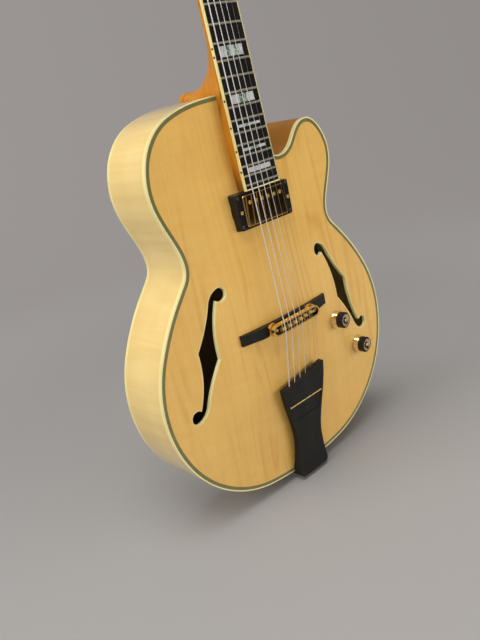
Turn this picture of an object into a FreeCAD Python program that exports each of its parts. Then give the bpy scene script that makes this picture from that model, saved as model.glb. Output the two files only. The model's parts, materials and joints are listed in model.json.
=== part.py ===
import FreeCAD, Part
import math
import os

# An archtop guitar with one rounded cutaway. Millimetres, X to the treble side, Y to the back, Z up the neck.
# The origin is where the end pin meets the rim, on the centre line, halfway through the body's depth.

# Body
body_length = 499.5
lower_bout = 401.0
waist = 248.6
upper_bout = 295.0
rim_depth = 77.5
rim_wall = 3.0
top_thickness = 5.0
back_thickness = 4.5
top_arch = 15.0
back_arch = 14.0
arch_margin = 13.0
arch_upper_share = 0.88
arch_roundness_shares = (3, 4)
arch_narrow_shares = (0.70, 0.83, 0.85)
surface_margin = 15.0
surface_pole_count = (15, 19)
cutaway_neck_side = 29.5
neck_corner_radius = 14.0
neck_flat = 20.0

# Outline nodes: the half width that the node follows, its share, its share of the body length, its heading
lower_outline_shares = [
    ("lower", 0.617, 0.0535, 31.7),
    ("lower", 1.0, 0.3313, 90.0),
    ("lower", 0.724, 0.585, 131.0),
    ("waist", 1.0, 0.6537, 90.0),
]
cutaway_outline_shares = [
    ("upper", 0.901, 0.7113, 64.5),
    ("upper", 1.0, 0.8058, 90.0),
    ("upper", 0.935, 0.866, 121.6),
    ("upper", 0.759, 0.9013, 180.0),
    ("upper", 0.633, 0.8863, 223.0),
    ("upper", 0.542, 0.8547, 231.0),
    ("upper", 0.38, 0.8308, 180.0),
]
shoulder_outline_shares = [
    ("upper", 0.9085, 0.7267, 67.5),
    ("upper", 1.0, 0.8318, 90.0),
    ("upper", 0.833, 0.9497, 137.0),
    ("upper", 0.4915, 0.993, 170.0),
]
cutaway_turn_share = 0.884
horn_tip_count = 3

# Edge trim
binding_width = 1.6
purfling_width = 4.3
purfling_depth = 1.5

# Blocks and bars inside the body
neck_block_length = 62.0
neck_block_width = 74.0
tail_block_length = 26.0
tail_block_width = 96.0
tone_bar_width = 7.0
tone_bar_depth = 14.0
tone_bar_spread = 74.0
tone_bar_span_shares = (0.16, 0.66)

# The f-holes: points on the upper half, as shares of the hole's length from its centre
f_hole_length = 148.0
f_hole_spread_share = 0.6127
f_hole_drop = 2.4
f_hole_binding = 1.6
f_hole_shares = {
    "inner_notch": (-0.0895, -0.062),
    "stem_inside": (-0.105, 0.155),
    "eye_start": (-0.189, 0.404),
    "eye_side": (-0.2895, 0.443),
    "eye_top": (-0.232, 0.5005),
    "shoulder": (-0.1605, 0.469),
    "neck": (-0.1065, 0.39),
    "stem_outside": (0.002, 0.185),
    "outer_notch": (0.0895, 0.062),
}

# Neck and fingerboard
scale_length = 628.65
saddle_height = 218.5
neck_angle = 3.05
board_rise = 31.1
board_radius = 305.0
board_thickness = 4.6
board_overhang = 6.0
board_binding = 1.5
nut_fret_span = 42.4
last_fret_span = 53.6
fret_count = 22
fret_width = 2.5
fret_crown_share = 0.4
fret_height = 1.1
fret_inset = 0.2
nut_length = 5.0
nut_rise = 2.6
nut_floor = 1.6
neck_depth_nut = 14.5
neck_depth_heel = 17.8
extension_inset = 1.2
heel_back_gap = 1.0
heel_cap_thickness = 7.0
heel_widths = (25.5, 20.0, 16.0, 14.0)
heel_lengths = (106.0, 31.0, 13.0, 10.5)
heel_level_shares = (0.0, 0.3, 0.62, 1.0)
tenon_width = 36.0
tenon_length = 30.0
tenon_gap = 6.0
round_share = 0.5523

# Inlays: the fret below each block, its share of the fret space, its number of segments
inlay_depth = 1.5
inlay_width_share = 0.68
inlay_shares = [
    (3, 0.62, 3),
    (5, 0.62, 3),
    (7, 0.62, 3),
    (9, 0.62, 3),
    (12, 0.62, 5),
    (15, 0.62, 3),
    (17, 0.22, 3),
    (19, 0.26, 3),
    (21, 0.50, 1),
]

# Truss rod
rod_radius = 3.0
rod_nut_radius = 4.2
rod_nut_length = 10.0
rod_nut_start = 2.0
rod_pocket_gap = 1.0
rod_pocket_length = 28.0
rod_depth = 6.0
rod_cover_width = 22.0
rod_cover_length = 38.0
rod_cover_taper_share = 0.5
rod_cover_thickness = 2.0
rod_cover_start = 3.0

# Headstock
head_angle = 14.0
head_length = 176.0
head_thickness = 14.0
veneer_thickness = 2.0
head_throat = 46.0
head_shoulder = 70.0
head_width = 82.0
head_shoulder_rise = 26.0
head_crown = 7.0

# Tuners
post_radius = 3.0
post_rise = 12.0
post_depth = 8.0
post_first = 44.0
post_pitch = 47.0
post_inset = 13.5
running_clearance = 0.05
bushing_radius = 4.8
bushing_flange_radius = 7.2
bushing_flange = 1.2
housing_length = 17.0
housing_width = 20.0
housing_height = 11.0
housing_round = 2.5
shaft_radius = 2.2
shaft_depth = 6.0
worm_offset = 4.0
button_reach = 10.0
button_length = 17.0
button_width = 12.0
button_thickness = 8.0
button_shoulder_share = 0.7
button_round = 2.5

# Strings, from the treble side to the bass side
string_side_count = 6
string_diameters = (0.33, 0.43, 0.66, 0.91, 1.17, 1.42)
plain_string_count = 2
nut_spread = 36.0
saddle_spread = 50.0
tail_spread = 53.0
saddle_action = 5.6
saddle_compensation = 3.0
string_bend = 1.2
string_gap = 0.15
winding_gap = 0.3
winding_space = 0.7
winding_quarter_count = 6
winding_start = 9.4
gap_sample_count = 8
lead_sample_count = 200
ball_radius = 1.9
ball_length = 3.6

# Bridge
base_length = 154.0
base_width = 13.6
base_end = 3.5
base_plateau = 98.0
base_rise = 21.5
bridge_post_radius = 2.0
bridge_post_spread = 68.0
bridge_post_sink = 4.0
wheel_radius = 8.6
wheel_thickness = 4.2
wheel_gap = 1.2
wheel_seat = 0.1
frame_length = 83.0
frame_width = 14.5
frame_height = 6.6
frame_wall = 1.8
frame_floor = 2.0
frame_hole_clearance = 0.3
saddle_width = 6.0
saddle_length = 5.0
saddle_crest = 1.2
saddle_shoulder = 1.0
bridge_post_show = 2.0

# Tailpiece
tail_top_bass = 133.0
tail_top_treble = 144.8
tail_end_width = 77.0
tail_shoulder_width = 67.0
tail_line_height = 104.5
tail_line_width = 59.0
tail_line_thickness = 1.6
tail_line_depth = 1.0
tail_panel_length = 22.0
tail_panel_width = 46.0
tail_panel_depth = 0.6
tail_waist_height = 43.0
tail_waist_width = 46.0
tail_crease_height = 17.0
tail_crease_width = 52.0
tail_foot_width = 54.0
tail_foot_drop = 7.3
tail_foot_chamfer = 4.0
tail_front_end = 27.0
tail_front_crease = 11.8
tail_front_foot = 13.2
tail_thickness = 8.6
tail_rest = 10.0
tail_lip = 6.0
tail_clearance = 0.2
tail_hole_radius = 1.0
tail_hole_length = 7.0
tail_hole_depth = 2.9
hinge_width = 26.0
hinge_length = 58.0
hinge_thickness = 1.6
hinge_barrel = 1.9
hinge_pin_radius = 1.1
hinge_pin_drop = 3.2
hinge_pin_front = 2.6

# Pickup
pickup_gap = 1.5
ring_length = 87.0
ring_width = 42.4
ring_flare = 3.0
ring_rise = 17.0
ring_round = 3.0
cover_length = 69.4
cover_width = 37.6
cover_depth = 16.0
cover_wall = 0.8
cover_round = 3.2
cover_edge = 1.6
cover_stand = 2.4
cover_gap = 0.4
pole_pitch = 10.1
pole_offset = 9.5
pole_radius = 2.3
pole_stand = 0.6
core_gap = 0.3
base_plate = 1.5
leg_length = 9.0
height_screw_radius = 1.3
height_screw_head = 2.3
height_screw_length = 18.0
screw_head_height = 1.4
height_screw_spread = 78.0
pickup_opening_gap = 1.5

# Controls
volume_place_shares = (0.4838, 0.3554)
tone_place_shares = (0.6943, 0.2458)
skirt_radius = 12.6
skirt_height = 7.2
skirt_waist_radius = 11.3
grip_radius = 11.2
grip_height = 8.8
grip_round = 1.5
core_radius = 8.4
knob_cup_radius = 7.2
knob_cup_depth = 6.0
knob_stand = 0.6
knob_dish_radius = 6.9
knob_dish_floor = 3.8
knob_dish_depth = 1.8
knob_stud_radius = 2.1
knob_stud_drop = 0.4
pot_radius = 12.0
pot_height = 10.0
pot_gap = 0.4
pot_bushing_radius = 4.7
pot_bushing_rise = 4.5
pot_shaft_radius = 3.0
pot_shaft_drop = 3.0

# Output jack and end pin
jack_bore = 3.2
jack_barrel = 4.7
jack_length = 12.5
jack_flange = 8.0
jack_flange_thickness = 2.0
jack_nut = 1.5
jack_nut_radius = 6.5
pin_radius = 7.5
pin_stem = 4.2
pin_collar = 6.0
pin_height = 11.0
pin_rim = 2.6
pin_stem_length = 12.0

overrun = 5.0
straight_share = 1e-9

half_depth = rim_depth / 2
top_under = -half_depth + top_thickness
back_under = half_depth - back_thickness
front_reach = 4 * rim_depth
side_reach = lower_bout
flat = FreeCAD.Vector(1, 0, 0)
forward = FreeCAD.Vector(0, -1, 0)


def vec(x, y, z):
    return FreeCAD.Vector(x, y, z)


def box(x0, x1, y0, y1, z0, z1):
    return Part.makeBox(x1 - x0, y1 - y0, z1 - z0, vec(x0, y0, z0))


def rod(radius, start, end):
    return Part.makeCylinder(radius, (end - start).Length, start, end - start)


def line(start, end):
    return Part.LineSegment(start, end).toShape()


def polygon_prism(points, along):
    return Part.Face(Part.makePolygon(points + points[:1])).extrude(along)


def joined(shapes):
    shape = shapes[0]
    for other in shapes[1:]:
        shape = shape.fuse(other)
    return shape.removeSplitter()


def group(shapes):
    return Part.Compound(shapes)


def save(name, shape):
    solids = shape.Solids
    shape = solids[0] if len(solids) == 1 else Part.Compound(solids)
    shape.exportStep("parts/" + name + ".step")


# Middle of the arc that leaves start towards the corner and comes to end from it
def corner_mid(start, corner, end):
    half = (end - start) * 0.5
    foot = start + half
    rise = corner - foot
    if rise.Length <= straight_share * half.Length:
        return foot
    sag = half.Length * math.tan(math.atan2(rise.Length, half.Length) / 2)
    return foot + rise * (sag / rise.Length)


# Two arcs that leave start along its heading and reach end along its own
def biarc(start, start_heading, end, end_heading):
    span = end - start
    turn = 1 - start_heading.dot(end_heading)
    both = span.dot(start_heading + end_heading)
    if turn < straight_share:
        reach = span.dot(span) / (2 * both)
    else:
        reach = (math.sqrt(both * both + 2 * turn * span.dot(span)) - both) / (2 * turn)
    first = start + start_heading * reach
    second = end - end_heading * reach
    joint = (first + second) * 0.5
    return [(start, first, joint), (joint, second, end)]


def unit(vector):
    return vector * (1 / vector.Length)


def arc_edge(start, middle, end):
    if (middle - (start + end) * 0.5).Length <= straight_share * (end - start).Length:
        return line(start, end)
    return Part.Arc(start, middle, end).toShape()


# Body outline
def half_width(name):
    return {"lower": lower_bout, "waist": waist, "upper": upper_bout}[name] / 2


def outline_node(row, side):
    name, width_share, length_share, degrees = row
    angle = math.radians(degrees)
    heading = vec(math.cos(angle), 0, math.sin(angle) * side)
    return vec(side * half_width(name) * width_share, 0, body_length * length_share), heading


def outline_nodes():
    tail = (vec(0, 0, 0), vec(1, 0, 0))
    nodes = [tail]
    for row in lower_outline_shares + cutaway_outline_shares:
        nodes.append(outline_node(row, 1))
    up = vec(0, 0, 1)
    nodes.append((vec(cutaway_neck_side, 0, body_length * cutaway_turn_share), up))
    nodes.append((vec(cutaway_neck_side, 0, body_length - neck_corner_radius), up))
    nodes.append((vec(cutaway_neck_side - neck_corner_radius, 0, body_length), vec(-1, 0, 0)))
    nodes.append((vec(-neck_flat, 0, body_length), vec(-1, 0, 0)))
    for row in reversed(lower_outline_shares + shoulder_outline_shares):
        nodes.append(outline_node(row, -1))
    return nodes + [tail]


def inward(heading):
    return vec(-heading.z, 0, heading.x)


# The outline, moved inwards by inset, in the plane at y
def body_wire(inset, y):
    nodes = outline_nodes()
    edges = []
    for (start, start_heading), (end, end_heading) in zip(nodes, nodes[1:]):
        heading = start_heading
        for begin, corner, finish in biarc(start, start_heading, end, end_heading):
            middle = corner_mid(begin, corner, finish)
            final = unit(finish - corner)
            lift = vec(0, y, 0)
            places = [
                begin + inward(heading) * inset + lift,
                middle + inward(unit(finish - begin)) * inset + lift,
                finish + inward(final) * inset + lift,
            ]
            edges.append(arc_edge(*places))
            heading = final
    return Part.Wire(edges)


def body_prism(inset, y0, y1):
    return Part.Face(body_wire(inset, y0)).extrude(vec(0, y1 - y0, 0))


def body_ring(outer_inset, inner_inset, y0, y1):
    return body_prism(outer_inset, y0, y1).cut(body_prism(inner_inset, y0 - overrun, y1 + overrun))


# Half width of the arch's foot on the bass side, by height
def foot_profile():
    points = body_wire(arch_margin, 0).discretize(Number=400)
    rows = [(point.z, -point.x) for point in points if point.x < 0]
    return sorted(rows)


def foot_at(rows, z):
    for (low, narrow), (high, wide) in zip(rows, rows[1:]):
        if low <= z <= high and high > low:
            return narrow + (wide - narrow) * (z - low) / (high - low)
    return 0


def ease(share):
    share = min(max(share, 0), 1)
    return share * share * (3 - 2 * share)


# Height of the arch at a place, as a share of its crown
def arch_share(rows, x, z):
    upper = body_length * arch_upper_share
    span = upper - saddle_height if z > saddle_height else saddle_height - arch_margin
    along = (z - saddle_height) / span
    foot = foot_at(rows, z)
    if x > 0:
        begin, end, most = arch_narrow_shares
        foot *= 1 - most * ease((z / body_length - begin) / (end - begin))
    if abs(along) >= 1 or abs(x) >= foot:
        return 0
    power = arch_roundness_shares[1] if along > 0 else arch_roundness_shares[0]
    return (1 - (x / foot) ** 2) ** 2 * (1 - abs(along) ** power) ** 2


# Knots and pole places of a clamped cubic whose parameter is the place itself
def pole_grid(count, low, high):
    spans = count - 3
    knots = [low + (high - low) * i / spans for i in range(spans + 1)]
    padded = [low] * 3 + knots + [high] * 3
    places = [sum(padded[i + 1:i + 4]) / 3 for i in range(count)]
    return places, knots, [4] + [1] * (spans - 1) + [4]


def arch_surface(edge_y, height):
    rows = foot_profile()
    reach = lower_bout / 2 + surface_margin
    across = pole_grid(surface_pole_count[0], -reach, reach)
    along = pole_grid(surface_pole_count[1], -surface_margin, body_length + surface_margin)
    poles = [[vec(x, edge_y + height * arch_share(rows, x, z), z) for z in along[0]] for x in across[0]]
    surface = Part.BSplineSurface()
    surface.buildFromPolesMultsKnots(poles, across[2], along[2], across[1], along[1], False, False, 3, 3)
    return surface


# Plates, rim and what is inside
class Body:
    def __init__(self):
        self.top = arch_surface(-half_depth, -top_arch)
        self.back = arch_surface(half_depth, back_arch)
        top_face = self.top.toShape()
        back_face = self.back.toShape()
        self.over_top = top_face.extrude(vec(0, -front_reach, 0))
        under_top = top_face.translated(vec(0, top_thickness, 0)).extrude(vec(0, front_reach, 0))
        over_back = back_face.translated(vec(0, -back_thickness, 0)).extrude(vec(0, -front_reach, 0))
        cavity = body_prism(rim_wall, -front_reach, front_reach)
        self.cavity = cavity.common(under_top).common(over_back)
        inner = body_prism(binding_width, -front_reach, front_reach)
        self.top_blank = top_face.extrude(vec(0, top_thickness, 0)).common(inner)
        self.back_blank = back_face.extrude(vec(0, -back_thickness, 0)).common(inner)
        self.bar_zone = top_face.translated(vec(0, top_thickness, 0)).extrude(vec(0, tone_bar_depth, 0))

    def top_y(self, x, z):
        return self.top.value(x, z).y

    def top_normal(self, x, z):
        normal = self.top.normal(x, z)
        return unit(normal if normal.y < 0 else normal * -1)


def f_hole_point(name, side, turn):
    across, up = f_hole_shares[name]
    x = lower_bout * f_hole_spread_share / 2 + turn * across * f_hole_length
    z = saddle_height - f_hole_drop + turn * up * f_hole_length
    return vec(side * x, -front_reach, z)


# Two equal halves, each the other turned half round, of four arcs
def f_hole_wire(side):
    arcs = [
        ("inner_notch", "stem_inside", "eye_start"),
        ("eye_start", "eye_side", "eye_top"),
        ("eye_top", "shoulder", "neck"),
        ("neck", "stem_outside", "outer_notch"),
    ]
    edges = []
    for turn in (1, -1):
        for names in arcs:
            edges.append(Part.Arc(*[f_hole_point(name, side, turn) for name in names]).toShape())
    return Part.Wire(edges)


def f_hole_prism(side, grow):
    wire = f_hole_wire(side)
    if grow:
        wire = wire.makeOffset2D(grow)
    return Part.Face(wire).extrude(vec(0, front_reach, 0))


def knob_axes(body):
    axes = []
    for across, up in (volume_place_shares, tone_place_shares):
        x = across * lower_bout / 2
        z = up * body_length
        axes.append((vec(x, body.top_y(x, z), z), body.top_normal(x, z)))
    return axes


# A main opening for the pickup with an ear at each end for its legs
def pickup_opening():
    middle = pickup_middle()
    half = cover_length / 2 + pickup_opening_gap
    tall = cover_width / 2 + pickup_opening_gap
    ear = height_screw_spread / 2 + leg_length / 2 + pickup_opening_gap
    low = leg_length / 2 + pickup_opening_gap
    main = box(-half, half, -front_reach, 0, middle - tall, middle + tall)
    return main.fuse(box(-ear, ear, -front_reach, 0, middle - low, middle + low))


def make_plates(body):
    top = body.top_blank.cut(pickup_opening())
    bindings = []
    for side in (-1, 1):
        hole = f_hole_prism(side, 0)
        opening = f_hole_prism(side, f_hole_binding)
        bindings.append(body.top_blank.common(opening).cut(hole))
        top = top.cut(opening)
    for place, normal in knob_axes(body):
        top = top.cut(rod(pot_bushing_radius, place - normal * pot_height, place + normal * pot_height))
    edge = binding_width + purfling_width
    top = top.cut(body_ring(0, edge, -half_depth - overrun, -half_depth + purfling_depth))
    save("top_plate", top)
    save("f_hole_bindings", group(bindings))
    save("back_plate", body.back_blank)


def make_edges():
    depth = -half_depth + purfling_depth
    save("top_binding", body_ring(0, binding_width, -half_depth, top_under))
    save("back_binding", body_ring(0, binding_width, back_under, half_depth))
    save("top_purfling", body_ring(binding_width, binding_width + purfling_width, -half_depth, depth))


def tenon_box():
    half = tenon_width / 2
    low = top_under + tenon_gap
    high = back_under - tenon_gap
    return box(-half, half, low, high, body_length - tenon_length, body_length + overrun)


# The jack sits where the body is widest, square to the rim there
def jack_axis():
    widest = max(lower_outline_shares, key=lambda row: half_width(row[0]) * row[1])
    spot, heading = outline_node(widest, 1)
    return spot, inward(heading) * -1


def neck_block_box():
    half = neck_block_width / 2
    low = body_length - neck_block_length
    return box(-half, cutaway_neck_side, -front_reach, front_reach, low, body_length)


def tail_block_box():
    half = tail_block_width / 2
    return box(-half, half, -front_reach, front_reach, -overrun, tail_block_length)


def pin_hole():
    return rod(pin_stem, vec(0, 0, -overrun), vec(0, 0, pin_stem_length))


def make_tone_bars(body):
    bars = []
    low, high = [share * body_length for share in tone_bar_span_shares]
    for side in (-1, 1):
        middle = side * tone_bar_spread / 2
        half = tone_bar_width / 2
        bar = body.bar_zone.common(box(middle - half, middle + half, -front_reach, 0, low, high))
        bars.append(bar.cut(pickup_opening()))
    save("tone_bars", group(bars))


# The rim's three bent sides, which meet on the centre line and at the tip of the horn
def save_sides(rim):
    tip = outline_node(cutaway_outline_shares[horn_tip_count], 1)[0]
    waist_height = outline_node(lower_outline_shares[-1], 1)[0].z
    far = side_reach + body_length
    bass = box(-far, 0, -front_reach, front_reach, -far, far)
    cutaway = box(0, tip.x, -front_reach, front_reach, waist_height, far)
    save("rim_bass", rim.common(bass))
    save("rim_cutaway", rim.common(cutaway))
    save("rim_treble", rim.cut(bass).cut(cutaway))


def make_frame(body):
    rim = body_ring(0, rim_wall, top_under, back_under).cut(tenon_box())
    place, along = jack_axis()
    rim = rim.cut(rod(jack_barrel, place - along * jack_length, place + along * overrun))
    save_sides(rim.cut(pin_hole()))
    save("neck_block", body.cavity.common(neck_block_box()).cut(tenon_box()))
    save("tail_block", body.cavity.common(tail_block_box()).cut(pin_hole()))


# Neck frame: the board's crown is at y zero, z is the distance from the saddle line
def neck_place():
    spot = vec(0, -half_depth - board_rise, saddle_height)
    return FreeCAD.Placement(spot, FreeCAD.Rotation(flat, -neck_angle))


def head_place():
    spot = vec(0, board_thickness, scale_length + nut_length)
    return neck_place().multiply(FreeCAD.Placement(spot, FreeCAD.Rotation(flat, -head_angle)))


def moved(shape, placement):
    copy = shape.copy()
    copy.transformShape(placement.toMatrix(), True)
    return copy


def fret_place(number):
    return scale_length * 2 ** (-number / 12)


def board_end():
    return fret_place(fret_count) - board_overhang


def span_at(z):
    low = fret_place(fret_count)
    return nut_fret_span + (last_fret_span - nut_fret_span) * (scale_length - z) / (scale_length - low)


def crown_drop(x):
    return board_radius - math.sqrt(board_radius ** 2 - x ** 2)


def board_plan(grow, low, high, depth):
    points = []
    for z, side in ((low, -1), (low, 1), (high, 1), (high, -1)):
        points.append(vec(side * (span_at(z) / 2 + grow), -overrun, z))
    return polygon_prism(points, vec(0, overrun + depth, 0))


def crown_solid(rise):
    start = vec(0, board_radius, 0)
    return Part.makeCylinder(board_radius + rise, scale_length + nut_length, start, vec(0, 0, 1))


# Crown of one fret: a flat-topped bar bent along the board's own curve
def fret_solid(number):
    z = fret_place(number)
    span = span_at(z) - 2 * fret_inset
    angle = math.degrees(math.asin(span / 2 / board_radius))
    half = fret_width / 2
    top = half * fret_crown_share
    points = [vec(0, 0, z - half), vec(0, 0, z + half)]
    points += [vec(0, -fret_height, z + top), vec(0, -fret_height, z - top)]
    profile = Part.Face(Part.makePolygon(points + points[:1]))
    axis = vec(0, board_radius, 0)
    profile.rotate(axis, vec(0, 0, 1), -angle)
    return profile.revolve(axis, vec(0, 0, 1), 2 * angle)


def inlay_boxes():
    pearl = []
    abalone = []
    for number, height_share, segments in inlay_shares:
        low = fret_place(number)
        high = fret_place(number - 1)
        middle = (low + high) / 2
        half_height = (high - low) * height_share / 2
        width = span_at(middle) * inlay_width_share
        step = width / segments
        for index in range(segments):
            x = -width / 2 + index * step
            block = box(x, x + step, -overrun, inlay_depth, middle - half_height, middle + half_height)
            (abalone if index % 2 else pearl).append(block.common(crown_solid(0)))
    return pearl, abalone


def make_fingerboard():
    place = neck_place()
    low = board_end()
    wood = board_plan(0, low + board_binding, scale_length, board_thickness).common(crown_solid(0))
    whole = board_plan(board_binding, low, scale_length, board_thickness).common(crown_solid(0))
    binding = whole.cut(wood)
    pearl, abalone = inlay_boxes()
    board = wood.cut(group(pearl + abalone))
    frets = [fret_solid(number) for number in range(1, fret_count + 1)]
    save("fingerboard", moved(board, place))
    save("fingerboard_binding", moved(binding, place))
    save("frets", moved(group(frets), place))
    save("pearl_inlays", moved(group(pearl), place))
    save("abalone_inlays", moved(group(abalone), place))


# A flat side at z and a round one beyond it, in the plane at y
def half_oval(half, length, y, z):
    left = vec(-half, y, z)
    right = vec(half, y, z)
    tip = vec(0, y, z + length)
    up = vec(0, 0, length * round_share)
    out = vec(half * round_share, 0, 0)
    curves = []
    for start, end, sign in ((right, tip, 1), (tip, left, -1)):
        first = start + up if sign > 0 else start - out
        second = end + out if sign > 0 else end + up
        curve = Part.BezierCurve()
        curve.setPoles([start, first, second, end])
        curves.append(curve.toShape())
    return Part.Wire([line(left, right)] + curves)


# The same oval standing in the plane at z, its flat side on the board and its round side to the back
def shaft_section(z, depth):
    section = half_oval(span_at(z) / 2 + board_binding, depth, 0, 0)
    section.rotate(vec(0, 0, 0), flat, -90)
    section.translate(vec(0, board_thickness, z))
    return section


def heel_solid():
    start = -half_depth + heel_back_gap
    end = half_depth
    sections = []
    for half, length, share in zip(heel_widths, heel_lengths, heel_level_shares):
        sections.append(half_oval(half, length, start + (end - start) * share, body_length))
    shoulder = Part.Face(sections[0]).extrude(vec(0, -half_depth, 0))
    return joined([Part.makeLoft(sections, True, False), shoulder])


def heel_cap_solid():
    section = half_oval(heel_widths[-1], heel_lengths[-1], half_depth, body_length)
    return Part.Face(section).extrude(vec(0, heel_cap_thickness, 0))


# Half of the headstock's edge: a double curve out of the throat, then a straight side
def head_side(y):
    throat = vec(head_throat / 2, y, 0)
    shoulder = vec(head_shoulder / 2, y, head_shoulder_rise)
    tip = vec(head_width / 2, y, head_length)
    along = unit(tip - shoulder)
    arcs = []
    for begin, corner, finish in biarc(throat, vec(0, 0, 1), shoulder, along):
        arcs.append((begin, corner_mid(begin, corner, finish), finish))
    return arcs, tip


def head_outline(y):
    arcs, tip = head_side(y)
    edges = [arc_edge(*arc) for arc in arcs]
    edges.append(line(arcs[-1][2], tip))
    half = Part.Wire(edges)
    other = half.mirror(vec(0, 0, 0), flat)
    crown = vec(0, y, head_length + head_crown)
    edges += other.Edges
    edges.append(Part.Arc(tip, crown, vec(-tip.x, y, tip.z)).toShape())
    edges.append(line(vec(-head_throat / 2, y, 0), vec(head_throat / 2, y, 0)))
    return Part.Wire(Part.__sortEdges__(edges))


def post_places():
    places = []
    slope = (head_width - head_shoulder) / 2 / (head_length - head_shoulder_rise)
    for index in range(3):
        z = post_first + post_pitch * index
        x = head_shoulder / 2 + slope * (z - head_shoulder_rise) - post_inset
        places.append((x, z))
    treble = [(x, z) for x, z in places]
    bass = [(-x, z) for x, z in reversed(places)]
    return treble + bass


def rod_spot(z):
    return vec(0, board_thickness + rod_depth, z)


def nut_far():
    return scale_length + nut_length


# Room for the rod and, under its cover, for its nut
def rod_channel():
    low = rod_spot(body_length - saddle_height + tenon_length)
    pocket = rod_nut_radius + rod_pocket_gap
    end = rod_spot(nut_far() + rod_pocket_length)
    return rod(rod_radius, low, rod_spot(nut_far())).fuse(rod(pocket, rod_spot(nut_far()), end))


def make_truss_rod():
    low = rod_spot(body_length - saddle_height + tenon_length)
    start = rod_spot(nut_far() + rod_nut_start)
    end = rod_spot(nut_far() + rod_nut_start + rod_nut_length)
    save("truss_rod", moved(rod(rod_radius, low, start).fuse(rod(rod_nut_radius, start, end)), neck_place()))


def over_board():
    return moved(box(-side_reach, side_reach, -front_reach, board_thickness, 0, scale_length), neck_place())


def shaft_solid():
    low = shaft_section(body_length - saddle_height, neck_depth_heel)
    shaft = moved(Part.makeLoft([low, shaft_section(nut_far(), neck_depth_nut)], True, True), neck_place())
    return shaft.cut(body_prism(0, -front_reach, front_reach))


# The neck's tongue over the body, between the board and the top
def tongue_solid(body):
    low = board_end() + board_binding
    high = body_length - saddle_height + overrun
    tongue = moved(board_plan(board_binding - extension_inset, low, high, front_reach), neck_place())
    return tongue.cut(over_board()).common(body.over_top)


def make_neck(body):
    head = moved(Part.Face(head_outline(0)).extrude(vec(0, head_thickness, 0)), head_place())
    heel = heel_solid().cut(over_board())
    neck = joined([shaft_solid(), heel, tongue_solid(body), tenon_box(), head])
    neck = neck.cut(moved(rod_channel(), neck_place()))
    for x, z in post_places():
        hole = rod(bushing_radius, vec(x, -overrun, z), vec(x, head_thickness + overrun, z))
        neck = neck.cut(moved(hole, head_place()))
    save("neck", neck)
    save("heel_cap", heel_cap_solid())


# Nut, headstock face and truss rod cover
def string_x(spread, index):
    return spread * (0.5 - index / (len(string_diameters) - 1))


def nut_point(index):
    x = string_x(nut_spread, index)
    y = crown_drop(x) - nut_floor - string_diameters[index] / 2
    return vec(x, y, scale_length + nut_length / 2)


# Room for one string through the nut, open to the front and bent as the string is
def nut_slot(index):
    back = neck_place().inverse()
    middle = nut_point(index)
    radius = string_diameters[index] / 2 + string_gap
    side = vec(radius, 0, 0)
    floor = middle + vec(0, radius, 0)
    parts = []
    for target in (saddle_point(index), winding_rows(index)[0][0]):
        way = unit(back.multVec(target) - middle) * nut_length
        corners = [floor - side, floor + side, floor + way + side, floor + way - side]
        parts.append(Part.Face(Part.makePolygon(corners + corners[:1])).extrude(forward * overrun))
    return joined(parts)


def make_nut():
    half = nut_fret_span / 2 + board_binding
    blank = box(-half, half, -overrun, board_thickness, scale_length, nut_far())
    nut = blank.common(crown_solid(nut_rise))
    for index in range(len(string_diameters)):
        nut = nut.cut(nut_slot(index))
    save("nut", moved(nut, neck_place()))


def make_head_face():
    veneer = Part.Face(head_outline(-veneer_thickness)).extrude(vec(0, veneer_thickness, 0))
    for x, z in post_places():
        veneer = veneer.cut(rod(bushing_radius, vec(x, -overrun, z), vec(x, overrun, z)))
    veneer = moved(veneer, head_place()).cut(moved(rod_channel(), neck_place()))
    save("headstock_veneer", veneer)


def make_rod_cover():
    low = rod_cover_start
    high = rod_cover_start + rod_cover_length
    wide = rod_cover_width / 2
    narrow = wide * rod_cover_taper_share
    y = -veneer_thickness
    corners = [vec(-wide, y, low), vec(wide, y, low), vec(narrow, y, high), vec(-narrow, y, high)]
    edges = [line(start, end) for start, end in zip(corners, corners[1:3])]
    edges.append(Part.Arc(corners[2], vec(0, y, high + narrow), corners[3]).toShape())
    edges.append(line(corners[3], corners[0]))
    cover = Part.Face(Part.Wire(edges)).extrude(vec(0, -rod_cover_thickness, 0))
    save("truss_rod_cover", moved(cover, head_place()))


# Tuners
def worm_place(x, z):
    out = vec(math.copysign(1, x), 0, 0)
    middle = vec(x, head_thickness + housing_height / 2, z + worm_offset)
    return middle + out * (housing_width / 2), out


def tuner_housing(x, z):
    half = housing_width / 2
    tall = housing_length / 2
    low = head_thickness
    high = head_thickness + housing_height
    housing = box(x - half, x + half, low, high, z - tall, z + tall)
    rims = [edge for edge in housing.Edges if edge.BoundBox.YMin > high - running_clearance]
    housing = housing.makeChamfer(housing_round, rims)
    bore = post_radius + running_clearance
    housing = housing.cut(rod(bore, vec(x, low - overrun, z), vec(x, low + post_depth, z)))
    face, out = worm_place(x, z)
    bore = shaft_radius + running_clearance
    return housing.cut(rod(bore, face - out * shaft_depth, face + out * overrun))


# A six-sided nut on the headstock's face and its sleeve through the wood
def tuner_bushing(x, z):
    front = -veneer_thickness - bushing_flange
    spoke = vec(bushing_flange_radius, 0, 0)
    turns = [FreeCAD.Rotation(forward, 60 * step) for step in range(6)]
    nut = polygon_prism([vec(x, front, z) + turn.multVec(spoke) for turn in turns], vec(0, bushing_flange, 0))
    sleeve = rod(bushing_radius, vec(x, front, z), vec(x, head_thickness, z))
    bore = post_radius + running_clearance
    hole = rod(bore, vec(x, front - overrun, z), vec(x, head_thickness + overrun, z))
    return joined([nut, sleeve]).cut(hole)


def tuner_post(x, z):
    low = head_thickness + post_depth - running_clearance
    return rod(post_radius, vec(x, low, z), vec(x, -veneer_thickness - post_rise, z))


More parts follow.
